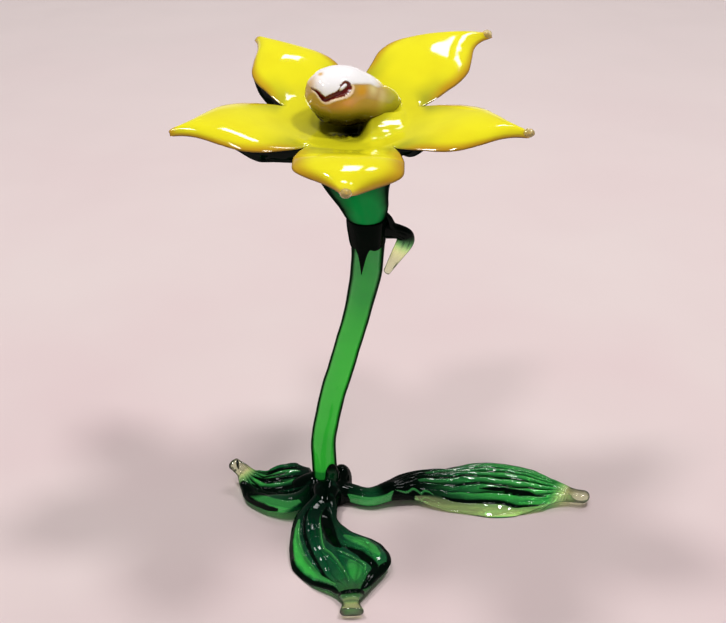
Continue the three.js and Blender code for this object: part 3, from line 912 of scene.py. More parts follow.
@dataclass
class Collar:
    """The dark wrap under the bloom, with a ragged lower edge and one pointed tongue.

    proud is how far it stands out of the stem and tucked how far its inner wall lies inside it;
    rounded is the height over which its lower edge rounds up, hidden the depth of its very edge, and
    thinned the height over which it thins towards its top, where the share least of proud is left.
    """

    axis: Axis = Axis()
    top: float = 141.0
    bottom: float = 129.0
    tongue_tip: float = 115.8
    tongue_angle: float = math.radians(-109)
    tongue_half: float = math.radians(27)
    tongue_power: float = 1.5
    waves: tuple[Triple, ...] = ((0.5, 3, 0.6), (0.3, 7, 0.0))
    proud: float = 0.3
    least: float = 0.35
    tucked: float = 0.9
    rounded: float = 1.6
    hidden: float = 0.25
    thinned: float = 6.0
    row_power: float = 1.3
    greened: float = 0.32
    rows: int = 90
    columns: int = 240

    def edge(self, angle: Array) -> Array:
        """Height of the lower edge: level, a little ragged, and drawn down to a point at the tongue.

        Args:
            angle: Angles about the axis.

        Returns:
            Heights in mm.
        """
        aside = np.abs((angle - self.tongue_angle + math.pi) % FULL_TURN - math.pi) / self.tongue_half
        ragged = sum(height * np.sin(count * angle + phase) for height, count, phase in self.waves)
        drop = np.clip(1 - aside, 0, 1) ** self.tongue_power
        return self.bottom + ragged * (1 - drop) - (self.bottom - self.tongue_tip) * drop

    def skin(self) -> Skin:
        """A sleeve whose profile runs up outside the stem, back down inside it and to its start.

        Returns:
            The closed skin.
        """
        v, a = grid(np.linspace(0, 1, self.rows), turn(self.columns))
        low = self.edge(a)
        z = low + (self.top - low) * v**self.row_power
        rounding = (1 - (1 - np.clip((z - low) / self.rounded, 0, 1)) ** 2) ** 0.5
        lift = self.proud * rounding - self.hidden * (v == 0)
        fade = Ramp(self.top - self.thinned, self.top).falling(z)
        radius = self.axis.radius(z)
        outer = self.axis.around(z, a, radius + lift * (self.least + (1 - self.least) * fade))
        inner = self.axis.around(z, a, radius - self.tucked)
        rings = np.concatenate([outer, inner[::-1], outer[:1]])
        green = self.greened * Ramp(self.bottom, self.tongue_tip)(z)
        green = np.concatenate([green, green, green[:1]])
        faces = grid_triangles(len(rings), self.columns, True)
        return Skin(rings.reshape(-1, 3), faces, {"funnel": green.ravel()}).closed()

    def build(self, glass: Material) -> None:
        """Make the collar."""
        settle(self.skin(), "collar_wrap", glass, ["collar"])


# ---- leaves


@dataclass(frozen=True)
class BladeTable:
    """A leaf's numbers, all keyed by `at`, the share of its length.

    right and left are half-widths on either hand looking along it, thick and edge its thickness along
    the middle and at the rim, roll its turn about the centreline in degrees, and slopes the section's
    rise in degrees at five places from the right rim to the left rim.
    """

    up: Triple
    at: Row
    x: Row
    y: Row
    z: Row
    right: Row
    left: Row
    thick: Row
    edge: Row
    roll: Row
    slopes: tuple[Row, ...]

    def curve(self, name: str, u: Array) -> Array:
        """One of the table's rows, by its name, at shares u of the length."""
        return Curve(self.at, getattr(self, name))(u)

    def section(self, u: Array, t: Array) -> tuple[Array, Array]:
        """Where the section's middle line runs: the integral of its slope out from the centre.

        Args:
            u: Shares of the length (rows,).
            t: Places across (columns,), -1 on the right rim, 1 on the left.

        Returns:
            Sideways and outward distances (rows, columns) in mm.
        """
        steps = 200
        fine = np.linspace(-1, 1, steps + 1)
        keys = np.radians(np.stack([Curve(self.at, slope)(u) for slope in self.slopes], -1))
        places = np.linspace(-1, 1, len(self.slopes))
        slopes = np.stack([Curve(places, row)(fine) for row in keys])
        reach = np.where(fine < 0, self.curve("right", u)[:, None], self.curve("left", u)[:, None])
        walked = []
        for rate in (np.cos(slopes) * reach, np.sin(slopes) * reach):
            total = np.zeros_like(rate)
            total[:, 1:] = np.cumsum((rate[:, 1:] + rate[:, :-1]) / 2 * np.diff(fine), 1)
            total -= total[:, steps // 2, None]
            walked.append(np.stack([np.interp(t, fine, row) for row in total]))
        return walked[0], walked[1]


@dataclass(frozen=True)
class Stroke:
    """A soft line along a blade's upper face: painted light (bright), painted shade (dark) or clear glass.

    at and place are its keys' shares of the length and places across. half is its half-width in mm,
    drawn in at both ends, share its strength, and height how far the face is raised under it.
    """

    trait: str
    at: Row
    place: Row
    half: float
    share: float = 1.0
    height: float = 0.0
    soft: Ramp = Ramp(0.6, 1.15)

    def cover(self, u: Array, t: Array, along: Array, across: Array) -> Array:
        """How strongly it covers each point, by its distance in mm laid out flat.

        Args:
            u: Shares of the length (rows,).
            t: Places across (columns,).
            along: Distance along the centreline (rows,) in mm.
            across: Sideways distance (rows, columns) in mm.

        Returns:
            Shares (rows, columns) from 0 to 1.
        """
        points, w = smooth_line(np.transpose([self.at, self.place]), 70)
        su, st = points[:, 0], np.clip(points[:, 1], -1, 1)
        order = np.argsort(t)
        rows = np.clip(np.searchsorted(u, su), 0, len(u) - 1)
        sideways = np.array([np.interp(p, t[order], across[r][order]) for r, p in zip(rows, st)])
        lengths = np.interp(su, u, along)
        half = self.half * np.sqrt(np.sin(math.pi * np.clip(w, 0.02, 0.98)))
        gap = np.hypot(along[:, None, None] - lengths, across[..., None] - sideways) / half
        return self.soft.falling(gap.min(axis=-1))


@dataclass
class Blade:
    """One leaf: a strip of glass along a centreline, ribbed, streaked with painted light and shade, drawn
    off to clear glass.

    dark, bright and clear are keys (shares of the length, shares of the trait): bright is painted
    light, dark partly dark glass and partly painted shade. ribs are counted over rib_span, and lines
    is how dark their valleys are painted, as shade. The ribs and the face's lumps set in over ribbed
    and end over plain, both shares of the length. tip and root are the shares of the length in which
    the ends are rounded off, to the share blunt of the section.
    """

    name: str
    table: BladeTable
    nodes: Sequence[str]
    dark: tuple[Sequence[float], Sequence[float]]
    bright: tuple[Sequence[float], Sequence[float]]
    clear: tuple[Sequence[float], Sequence[float]]
    along: int
    around: int
    ribs: float
    rib_height: float
    rib_span: Span = (-1.0, 1.0)
    lines: float = 1.0
    strokes: Sequence[Stroke] = ()
    more: Sequence[Skin] = ()
    ribbed: Ramp = Ramp(0.16, 0.36)
    plain: Ramp = Ramp(0.84, 0.93)
    span_fades: tuple[Span, Span] = ((-0.1, 0.06), (-0.06, 0.1))
    wobbles: tuple[Triple, ...] = ((0.03, 9, 3), (0.02, 23, 8))
    rib_power: float = 0.8
    rib_sunk: float = 0.6
    under_ribs: float = 0.35
    lump_height: float = 0.35
    lump_wave: float = 17.0
    tip: float = 0.025
    root: float = 0.02
    blunt: float = 0.12

    def taper(self, u: Array) -> Array:
        """Share of the section that is left near the two ends, each rounded off as a quarter circle."""
        past = np.stack([(u - (1 - self.tip)) / self.tip, (self.root - u) / self.root])
        return np.maximum(np.sqrt(1 - np.clip(past, 0, 1) ** 2).prod(axis=0), self.blunt)

    def rib_wave(self, u: Array, t: Array) -> tuple[Array, Array]:
        """The ribs: |sin| across the blade, wandering a little along it.

        Args:
            u: Shares of the length (rows, 1).
            t: Places across (1, columns).

        Returns:
            The wave, 0 in the valleys and 1 on the ribs, and where it shows, 0 to 1.
        """
        low, high = self.rib_span
        (in_from, in_to), (out_from, out_to) = self.span_fades
        inside = Ramp(low + in_from, low + in_to)(t) * Ramp(high + out_from, high + out_to).falling(t)
        wobble = sum(height * np.sin(a * u + b * t) for height, a, b in self.wobbles)
        wave = np.abs(np.sin(math.pi * self.ribs * (t + wobble - low) / (high - low)))
        return wave, self.ribbed(u) * self.plain.falling(u) * inside

    def colours(self, u: Array, wave: Array, shown: Array, upper: Array, streaks: Traits) -> Traits:
        """The traits: each along the length by its curve, then the painted shade of the valleys and the
        painted strokes over them.

        Args:
            u: Shares of the length (rows, 1).
            wave: The ribs' wave.
            shown: Where the ribs show.
            upper: Whether a point is on the upper face.
            streaks: What the strokes add to each trait.

        Returns:
            The traits (rows, columns).
        """
        rib_light, valley_power, valley_gain = 0.65, 1.6, 1.5
        clear = np.maximum(Curve(*self.clear)(u) + 0 * wave, streaks["clear"])
        # Painted light: lighter on the rib tops and under the bright strokes
        bright = np.maximum(Curve(*self.bright)(u) * (1 - rib_light + rib_light * wave), streaks["bright"])
        tinted = 1 - np.clip(2 * clear, 0, 1)
        # Painted shade: darker in the rib valleys and under the dark strokes
        valley = (1 - wave) ** valley_power * shown * self.lines
        dark = Curve(*self.dark)(u) * (1 - streaks["bright"])
        dark = np.maximum(dark, np.clip(valley * valley_gain, 0, 1) * upper * tinted)
        return {"dark": np.maximum(dark * tinted, streaks["dark"]), "bright": bright, "clear": clear}

    def skin(self) -> Skin:
        """Rings round the blade: middle line, plus and minus a half thickness with rounded rims.

        The upper face carries ribs, round on top and sharp in the valleys between, and strokes.

        Returns:
            The closed skin, ground flat on the table.
        """
        length = np.linspace(0, 1, self.along)
        angle = turn(self.around)
        u, t = length[:, None], -np.cos(angle)[None, :]
        upper = (np.sin(angle) < 0)[None, :]
        centres = np.stack([self.table.curve(name, length) for name in "xyz"], -1)
        side, out = sweep_frames(centres, self.table.up)
        roll = np.radians(self.table.curve("roll", u))
        side, out = side * np.cos(roll) + out * np.sin(roll), out * np.cos(roll) - side * np.sin(roll)
        across, rise = self.table.section(length, t[0])
        walked = np.concatenate([[0], np.cumsum(np.linalg.norm(np.diff(centres, axis=0), axis=1))])
        thick, edge = self.table.curve("thick", u), self.table.curve("edge", u)
        belly = (thick - edge) / 2 * np.sqrt(1 - t**2) + edge / 2 * np.sqrt(1 - t**8)
        taper = self.taper(u)
        wave, shown = self.rib_wave(u, t)
        inward = np.sqrt(np.clip(1 - t**4, 0, 1))
        rib = (wave**self.rib_power - self.rib_sunk) * self.rib_height * shown * inward
        streaks = {"dark": 0.0 * wave, "bright": 0.0 * wave, "clear": 0.0 * wave}
        relief = 0.0
        for stroke in self.strokes:
            cover = stroke.cover(length, t[0], walked, across)
            laid = cover * upper if stroke.trait == "dark" else cover
            streaks[stroke.trait] = np.maximum(streaks[stroke.trait], laid * stroke.share)
            relief = relief + cover * stroke.height
        face = belly * taper + rib + relief * inward * taper
        height = np.where(upper, face, -belly * taper - self.under_ribs * rib)
        side, out = side[:, None], out[:, None]
        rings = centres[:, None] + (across * taper)[..., None] * side + (rise + height)[..., None] * out
        lumps = ripple(rings, self.lump_wave, seed=5) * self.lump_height
        rings = rings + (lumps * self.ribbed(u) * self.plain.falling(u))[..., None] * out
        rings[..., 2] = np.maximum(rings[..., 2], LOWEST)
        return tube_skin(rings, self.colours(u, wave, shown, upper, streaks))

    def build(self, glass: Material) -> None:
        """Make the leaf and what is fused to it."""
        settle(join([self.skin(), *self.more]), self.name, glass, self.nodes)


def strand(
    points: Sequence[Sequence[float]], radii: Sequence[float], up: Sequence[float], traits: Sequence[str] = ()
) -> Skin:
    """A round strand through points, its ends rounded off.

    Args:
        points: Places in mm.
        radii: Radius at each.
        up: A direction that isn't along the strand.
        traits: Names of traits; the first is 1 all over and the others 0.

    Returns:
        The closed skin.
    """
    rows, columns = 48, 32
    squareness, least = 16, 0.02
    centres, share = smooth_line(points, rows)
    end = np.sqrt(np.clip(1 - np.abs(2 * share - 1) ** squareness, least, 1))
    radius = Curve(np.linspace(0, 1, len(points)), radii)(share) * end
    rings = centres[:, None] + circles(centres, up, columns) * radius[:, None, None]
    return tube_skin(rings, {name: np.full(rings.shape[:2], float(name == traits[0])) for name in traits})


RIGHT_LEAF = BladeTable(
    up=UP,
    at=(0, 0.1, 0.2, 0.3, 0.45, 0.6, 0.75, 0.86, 0.93, 1),
    x=(8, 20, 31, 42, 58, 74, 90, 104, 112, 120),
    y=(-5, -9, -6, -1, 1, 2.5, 1.5, -2.5, -6.5, -9.5),
    z=(5, 4.2, 6.6, 8, 8, 7.6, 6.4, 4.2, 3.6, 4.2),
    right=(4.2, 4.2, 5.6, 12, 19, 23.6, 22, 13, 5, 3.6),
    left=(4.2, 4.2, 5.5, 9.5, 14, 20, 18, 8, 3.6, 3.4),
    thick=(8, 8, 7, 5, 4, 3.6, 3.6, 4.6, 5.2, 5),
    edge=(1.4, 1.4, 1.4, 1.2, 1.1, 1.1, 1.2, 1.6, 2, 2),
    roll=(0, 12, 16, 6, 0, 0, 0, -4, -8, -8),
    slopes=(
        (0, 0, 12, 14, 4, 2, 4, 6, 0, 0),
        (0, 0, 16, 34, 40, 36, 34, 20, 0, 0),
        (0, 0, 0, 0, 0, 0, 0, 0, 0, 0),
        (0, 0, -16, -30, -30, -24, -26, -16, 0, 0),
        (0, 0, -16, -26, -22, -24, -24, -12, 0, 0),
    ),
)

FRONT_LEAF = BladeTable(
    up=UP,
    at=(0, 0.12, 0.25, 0.4, 0.55, 0.7, 0.82, 0.9, 1),
    x=(1, 0, -1, 2, 6, 9, 11.5, 12.5, 13),
    y=(-8, -17, -27, -39, -51, -63, -73, -80, -88),
    z=(6, 5.2, 3.8, 3.2, 3, 2.8, 3.2, 3, 2.9),
    right=(5, 7.5, 13, 18, 20, 15, 7, 4, 5.6),
    left=(5, 6, 7.5, 12, 21, 21, 10, 3.6, 5.4),
    thick=(8, 7.5, 5.5, 4.4, 4, 4.2, 5.4, 5, 4.4),
    edge=(1.4, 1.4, 1.6, 1.8, 1.8, 1.8, 2, 2, 2),
    roll=(0, -6, -10, -4, 0, 2, 0, 0, 0),
    slopes=(
        (0, 20, 40, 34, 24, 20, 6, 0, 0),
        (0, -10, -4, 4, 6, 4, 0, 0, 0),
        (0, -6, -8, -6, -4, -2, 0, 0, 0),
        (0, 10, 16, 16, 14, 10, 4, 0, 0),
        (0, 0, -4, -6, -12, -10, 0, 0, 0),
    ),
)

LEFT_LEAF = BladeTable(
    up=UP,
    at=(0, 0.15, 0.35, 0.55, 0.72, 0.84, 0.92, 1),
    x=(-5, -12, -21, -29, -34.5, -37.5, -40.5, -43),
    y=(-1, -1.5, -1, 0.5, 3, 5, 7, 9),
    z=(6, 3.4, 2, 2.4, 5.2, 8.2, 9.8, 10.6),
    right=(10.5, 15, 13.5, 10, 6, 3.6, 3, 2.8),
    left=(5, 20, 21, 15, 7.5, 3.6, 3, 2.8),
    thick=(8, 6.5, 4.6, 4.2, 4.4, 4.8, 4.6, 4.4),
    edge=(1.4, 1.6, 1.8, 1.8, 1.8, 2, 2, 2),
    roll=(0, -2, -4, -6, -8, -6, -4, -4),
    slopes=(
        (0, -8, -16, -18, -10, 0, 0, 0),
        (0, -14, -26, -24, -14, 0, 0, 0),
        (0, -4, -4, -4, 0, 0, 0, 0),
        (0, 28, 38, 32, 14, 0, 0, 0),
        (0, -34, -62, -52, -14, 0, 0, 0),
    ),
)

SIDE_LEAF = BladeTable(
    up=(0, -1, 0),
    at=(0, 0.14, 0.28, 0.42, 0.56, 0.75, 1),
    x=(24.5, 28.5, 32.5, 35.4, 35.4, 32, 27.4),
    y=(0, -0.6, -1, -1, -1.2, -1.4, -1.4),
    z=(135.6, 135.6, 134.9, 133, 129.6, 122.5, 115.4),
    right=(4, 4, 3.6, 3.6, 4.2, 3.6, 1.8),
    left=(4, 3.4, 3, 3.3, 3.2, 1.6, 1),
    thick=(5, 4.6, 4.2, 3.6, 3, 2.6, 2.4),
    edge=(1.4, 1.4, 1.4, 1.4, 1.2, 1.2, 1.2),
    roll=(0, 0, 0, 0, 0, 0, 0),
    slopes=(
        (0, 10, 20, 20, 16, 12, 0),
        (0, 6, 12, 12, 10, 8, 0),
        (0, 0, 0, 0, 0, 0, 0),
        (0, -6, -12, -12, -10, -8, 0),
        (0, -10, -20, -20, -16, -12, 0),
    ),
)

EAR = ((26.6, -0.6, 143.6), (28.2, -0.8, 141.2), (29.4, -0.9, 138.2), (31.2, -0.9, 135.4))

# The leaves' strokes: bright ones painted highlights and lit ridges, dark ones painted shade along rims and
# troughs, clear ones see-through glass
LONG_STROKES = (
    Stroke(
        "clear", (0.26, 0.35, 0.45, 0.55, 0.66, 0.77, 0.87), (-0.97, -0.93, -0.90, -0.86, -0.82, -0.90, -1),
        4.0, 0.42,
    ),
    Stroke(
        "dark", (0.40, 0.457, 0.558, 0.66, 0.769, 0.86), (-0.66, -0.70, -0.66, -0.62, -0.74, -0.92),
        1.2, 1, -0.6,
    ),
    Stroke("bright", (0.42, 0.513, 0.658, 0.79, 0.86), (-0.58, -0.56, -0.51, -0.62, -0.8), 0.7, 1, 1.0),
    Stroke("dark", (0.56, 0.66, 0.78, 0.85), (-0.40, -0.38, -0.46, -0.6), 1.1, 1, -0.4),
    Stroke("dark", (0.13, 0.25, 0.40, 0.52), (0.75, 0.70, 0.72, 0.85), 3.0, 0.9),
    Stroke("bright", (0.03, 0.08, 0.13, 0.165, 0.19), (-0.95, -0.95, -0.96, -0.88, -0.6), 1.3, 1, 0.3),
    Stroke(
        "bright", (0.20, 0.23, 0.26, 0.29, 0.32, 0.36), (-0.55, -0.75, -0.60, -0.76, -0.62, -0.70),
        0.55, 0.9, 0.5,
    ),
    Stroke("bright", (0.30, 0.352, 0.42, 0.50), (-0.25, -0.30, -0.22, -0.25), 1.6, 0.7),
    Stroke("bright", (0.34, 0.45, 0.56), (0.10, 0.16, 0.12), 1.2, 0.6),
    Stroke("dark", (0.45, 0.60, 0.75, 0.88), (-0.98, -0.99, -0.99, -1), 0.5, 0.9),
)

BROAD_STROKES = (
    Stroke(
        "bright", (0.28, 0.372, 0.45, 0.558, 0.68, 0.80), (-0.78, -0.84, -0.81, -0.75, -0.72, -0.70),
        2.6, 1, 1.0,
    ),
    Stroke("dark", (0.18, 0.30, 0.45, 0.6, 0.75, 0.86), (-0.9, -0.97, -0.99, -0.99, -0.98, -0.9), 1.9, 1),
    Stroke(
        "dark", (0.20, 0.276, 0.36, 0.447, 0.573, 0.70, 0.79),
        (-0.55, -0.60, -0.58, -0.53, -0.49, -0.52, -0.56), 1.1, 1, -1.0,
    ),
    Stroke(
        "bright", (0.20, 0.281, 0.38, 0.472, 0.513, 0.563, 0.648, 0.72, 0.79),
        (0.0, -0.11, -0.17, -0.22, -0.21, -0.11, -0.02, 0.03, 0.07), 0.65, 1, 1.2,
    ),
    Stroke("bright", (0.52, 0.57, 0.63, 0.69, 0.74), (0.02, 0.20, 0.36, 0.46, 0.48), 0.5, 1, 0.6),
    Stroke("bright", (0.62, 0.70, 0.78), (0.20, 0.26, 0.26), 3.4, 0.65),
    Stroke("dark", (0.17, 0.246, 0.33, 0.43, 0.50), (0.25, 0.22, 0.16, 0.10, 0.16), 3.6, 1, -0.6),
    Stroke("bright", (0.43, 0.503, 0.573, 0.64), (0.50, 0.64, 0.72, 0.76), 2.6, 0.75, 0.6),
    Stroke(
        "dark", (0.48, 0.56, 0.613, 0.668, 0.73, 0.80), (0.22, 0.42, 0.50, 0.60, 0.70, 0.62),
        2.1, 1, -1.2,
    ),
    Stroke("dark", (0.40, 0.50, 0.60, 0.72, 0.82), (0.85, 0.97, 0.99, 0.99, 0.95), 2.2, 1),
    Stroke("dark", (0.70, 0.774, 0.85), (0.90, 0.85, 0.70), 2.2, 1),
    Stroke("dark", (0.862, 0.875, 0.875, 0.862), (-0.98, -0.4, 0.4, 0.98), 1.5, 1, 1.2),
    Stroke("bright", (0.905, 0.91, 0.905), (-0.6, 0.0, 0.6), 1.0, 0.6),
)

SHORT_STROKES = (
    Stroke("dark", (0.08, 0.22, 0.40, 0.58, 0.70), (-0.30, -0.34, -0.30, -0.26, -0.2), 1.2, 1, -0.5),
    Stroke("dark", (0.06, 0.20, 0.36, 0.52, 0.64), (-0.66, -0.70, -0.68, -0.62, -0.6), 1.2, 1, -0.5),
    Stroke("dark", (0.10, 0.25, 0.45, 0.62), (-1.0, -1.0, -1.0, -1.0), 0.9, 0.95),
    Stroke("dark", (0.10, 0.22, 0.38, 0.54, 0.66), (0.06, 0.04, 0.08, 0.16, 0.3), 2.1, 1, -0.6),
    Stroke("bright", (0.10, 0.24, 0.40, 0.56, 0.70), (-0.48, -0.52, -0.48, -0.44, -0.4), 1.3, 0.9, 0.6),
    Stroke("bright", (0.12, 0.26, 0.42, 0.60, 0.70), (-0.12, -0.14, -0.10, -0.02, 0.05), 1.3, 0.9, 0.6),
    Stroke(
        "bright", (0.12, 0.231, 0.34, 0.457, 0.55, 0.62), (0.88, 0.90, 0.88, 0.85, 0.84, 0.82),
        2.4, 0.95, 0.6,
    ),
    Stroke("dark", (0.30, 0.45, 0.6, 0.70, 0.76), (0.98, 1, 1, 0.98, 0.8), 1.2, 1),
    Stroke(
        "dark", (0.12, 0.24, 0.36, 0.487, 0.60, 0.68, 0.74), (0.34, 0.38, 0.42, 0.52, 0.64, 0.74, 0.8),
        4.6, 1,
    ),
    Stroke("bright", (0.25, 0.30, 0.335, 0.30, 0.25), (0.12, 0.08, 0.2, 0.33, 0.42), 0.5, 1, 0.4),
    Stroke("dark", (0.88, 0.92, 0.95), (0.7, 0.1, -0.5), 0.7, 1),
)


EAR_RADII = (0.9, 1.3, 1.7, 2.2)


def leaves() -> list[Blade]:
    """The four leaves; the small hooked one has an ear of dark glass fused to it.

    Returns:
        The leaves, in the order in which they are made.
    """
    ear = strand(EAR, EAR_RADII, (0, 1, 0), ("dark", "bright", "clear"))
    return [
        Blade(
            "leaf_long", RIGHT_LEAF, ["leaf_right", "leaf_tip_right"],
            dark=(
                (0, 0.06, 0.12, 0.17, 0.3, 0.4, 0.55, 0.85, 0.9, 1),
                (0.95, 0.7, 0.5, 0.95, 0.92, 0.66, 0.14, 0.05, 0, 0),
            ),
            bright=((0, 0.3, 0.5, 0.7, 0.9, 1), (0.1, 0.2, 0.5, 0.9, 0.9, 0.5)),
            clear=((0, 0.86, 0.93, 1), (0, 0, 0.8, 1)),
            along=340, around=250, ribs=8, rib_height=1.3, rib_span=(-0.5, 1.0), strokes=LONG_STROKES,
        ),
        Blade(
            "leaf_broad", FRONT_LEAF, ["leaf_front", "leaf_tip_front"],
            dark=((0, 0.15, 0.3, 0.5, 0.78, 0.86, 0.92, 1), (0.95, 0.8, 0.62, 0.22, 0.16, 0.4, 0, 0)),
            bright=((0, 0.3, 0.6, 0.8, 1), (0, 0, 0.05, 0.25, 0.3)),
            clear=((0, 0.89, 0.93, 1), (0, 0.1, 0.85, 1)),
            along=280, around=250, ribs=6, rib_height=0.25, lines=0.25, strokes=BROAD_STROKES,
        ),
        Blade(
            "leaf_short", LEFT_LEAF, ["leaf_left", "leaf_tip_left"],
            dark=((0, 0.15, 0.35, 0.7, 0.82, 1), (0.9, 0.7, 0.35, 0.3, 0, 0)),
            bright=((0, 0.4, 0.75, 1), (0.05, 0.25, 0.6, 0.5)),
            clear=((0, 0.70, 0.78, 0.86, 1), (0, 0, 0.25, 0.85, 1)),
            along=220, around=220, ribs=5, rib_height=0.9, rib_span=(-1.0, 0.4), strokes=SHORT_STROKES,
        ),
        Blade(
            "leaf_side", SIDE_LEAF, ["side_leaf", "side_leaf_tip"],
            dark=((0, 0.3, 0.46, 0.56, 0.66, 1), (1, 1, 0.95, 0.35, 0, 0)),
            bright=((0, 0.5, 0.7, 1), (0, 0.3, 0.7, 0.5)),
            clear=((0, 0.55, 0.68, 0.85, 1), (0, 0.1, 0.6, 0.85, 1)),
            along=160, around=96, ribs=3, rib_height=0.25, more=(ear,),
        ),
    ]


# ---- foot knot


@dataclass
class Knot:
    """The dark lump where stem and leaves were gathered together, melted into one body.

    lumps are the (centre, half-sizes) of ellipsoids and strands the (points, radii, up) of the roots of
    stem and leaves, in mm. It is lighter in one lobe, by lobe_light over lobe_fade, and where a soft
    haze passes haze_from, by haze_light of what is over it.
    """

    lumps: tuple[tuple[Triple, Triple], ...] = (
        ((1.5, -2, 3.0), (11.6, 10.4, 7.4)),
        ((7.6, 1.2, 6.8), (4.8, 5.6, 7.4)),
        ((3.4, -4.4, 12.6), (3.4, 3.0, 6.6)),
        ((-5, -4, 4.5), (6.0, 6.0, 5.0)),
    )
    strands: tuple[tuple[tuple[Triple, ...], Triple, Triple], ...] = (
        (((0, 0, 3), (0, 0.3, 7), (-0.1, 0.6, 11)), (7.6, 6.9, 5.7), (0, 1, 0)),
        (((2, -4, 5), (10, -6.2, 4.4), (16.5, -7.9, 4.0)), (7, 4.6, 3.6), UP),
        (((1, -6, 5), (0.2, -14, 4.8), (-0.4, -20, 4.0)), (8, 6.0, 4.0), UP),
        (((-3, -1, 5), (-10, -1.5, 4.4), (-15, -1.4, 3.6)), (7, 5.4, 3.4), UP),
    )
    voxel: float = 0.6
    melting: float = 0.5
    rounds: int = 10
    darkest: float = 0.97
    lobe: tuple[Triple, Triple] = ((3.6, -6.2, 13.5), (2.6, 2.4, 4.6))
    lobe_fade: Ramp = Ramp(0.5, 1.2)
    lobe_light: float = 0.22
    haze_wave: float = 9.0
    haze_from: float = 0.35
    haze_light: float = 0.35

    def rough(self) -> Skin:
        """The overlapping lumps and strands, before they are melted together.

        Returns:
            One skin.
        """
        sphere = ball(24, 40, 0.04)
        balls = [np.asarray(centre) + sphere * np.asarray(half) for centre, half in self.lumps]
        return join([*(tube_skin(rings, {}) for rings in balls), *(strand(*root) for root in self.strands)])

    def melted(self) -> tuple[Array, Array]:
        """Fuse the rough lumps on a grid of voxels and smooth them.

        Returns:
            Points (n, 3) in mm, ground flat on the table, and triangles.
        """
        made = self.rough().object("knot_rough")
        remesh = made.modifiers.new("fuse", "REMESH")
        remesh.mode = "VOXEL"
        remesh.voxel_size = self.voxel * MM
        smooth = made.modifiers.new("melt", "SMOOTH")
        smooth.factor = self.melting
        smooth.iterations = self.rounds
        evaluated = made.evaluated_get(bpy.context.evaluated_depsgraph_get())
        mesh = evaluated.to_mesh()
        mesh.calc_loop_triangles()
        points = np.empty(len(mesh.vertices) * 3, np.float32)
        mesh.vertices.foreach_get("co", points)
        faces = np.empty(len(mesh.loop_triangles) * 3, np.int32)
        mesh.loop_triangles.foreach_get("vertices", faces)
        evaluated.to_mesh_clear()
        bpy.data.objects.remove(made)
        points = points.reshape(-1, 3).astype(float) / MM
        points[:, 2] = np.maximum(points[:, 2], LOWEST)
        return points, faces.reshape(-1, 3)

    def build(self, glass: Material) -> None:
        """Make the knot."""
        points, faces = self.melted()
        middle, half = self.lobe
        lobe = self.lobe_fade.falling(np.linalg.norm((points - middle) / half, axis=-1))
        haze = np.clip(ripple(points, self.haze_wave, seed=17) - self.haze_from, 0, 1)
        dark = np.clip(self.darkest - self.lobe_light * lobe - self.haze_light * haze, 0, 1)
        skin = Skin(points, faces, {"dark": dark, "bright": 0 * dark, "clear": 0 * dark})
        settle(skin, "foot_knot_glass", glass, ["foot_knot"])


# ---- bloom


@dataclass(frozen=True)
class Petal:
    """One petal: azimuth in degrees, reach in mm, share of the ordinary width, lift and bend of its tip.

    curl raises its anticlockwise rim in mm, and pinch draws that rim in near the ring. belly is the
    height in mm of the swelling before its tip, and keel deepens the green hull along one rim: its
    depth in mm, the rim's side, and the share of the length where it ends. level is the power by
    which its arch falls off sideways, amber the place where its warm margin begins, and shoulder widens
    it before its spout.
    """

    name: str
    azimuth: float
    reach: float
    width: float
    lift: float
    bend: float
    bead: bool = False
    curl: float = 0.0
    pinch: float = 0.0
    belly: float = 0.0
    keel: Triple = (0.0, 1.0, 1.0)
    level: float = 2.0
    amber: float = 0.62
    shoulder: float = 0.0


Over = Callable[[Array, Array, int], Array]
Paint = tuple[Callable[[Array], Array], Over]


def nothing(place: Array, *_: object) -> Array:
    """A trait that isn't there: 0 everywhere."""
    return 0 * place


@dataclass
class Face:
    """One face of the bloom: points, triangles, traits, and each petal's rim as point numbers."""

    points: Array
    triangles: Array
    traits: Traits
    rims: list[Array]


@dataclass(frozen=True)
class Shoulder:
    """The flat shoulder that runs up from the dish to the lip's tail, in the bloom's own frame, in mm.

    It is the plane height + slope_x (x - x0) + slope_y (y - y0), uneven by a ripple and levelled off
    softly at top. It shows where it stands over the dish, inside the four ramps.
    """

    height: float = 5.3
    origin: Span = (14, -12)
    slope: Span = (-0.05, 0.283)
    uneven: float = 0.12
    wave: float = 9.0
    top: float = 7.4
    softness: float = 0.6
    dish_slope: float = 0.307
    blend: float = 0.5
    from_left: Ramp = Ramp(2, 8)
    to_right: Ramp = Ramp(19, 24)
    to_back: Ramp = Ramp(2, 10)
    to_ring: Ramp = Ramp(21, 26.5)

    def over(self, x: Array, y: Array, rim: Span) -> Array:
        """Its height over the dish.

        Args:
            x: Places to the right.
            y: Places to the back.
            rim: Radius and height of the dish's rim.

        Returns:
            Heights in mm.
        """
        radius = np.hypot(x, y)
        dish = rim[1] - self.dish_slope * (rim[0] - radius)
        plane = self.height + self.slope[0] * (x - self.origin[0]) + self.slope[1] * (y - self.origin[1])
        plane = plane + self.uneven * ripple(np.stack([x, y, 0 * x], -1), self.wave, seed=23)
        plane = self.top - self.softness * np.logaddexp(0, (self.top - plane) / self.softness)
        above = plane - dish
        above = (above + np.sqrt(above**2 + self.blend)) / 2
        sides = self.from_left(x) * self.to_right.falling(x)
        return above * (sides * self.to_back.falling(y) * self.to_ring.falling(radius))


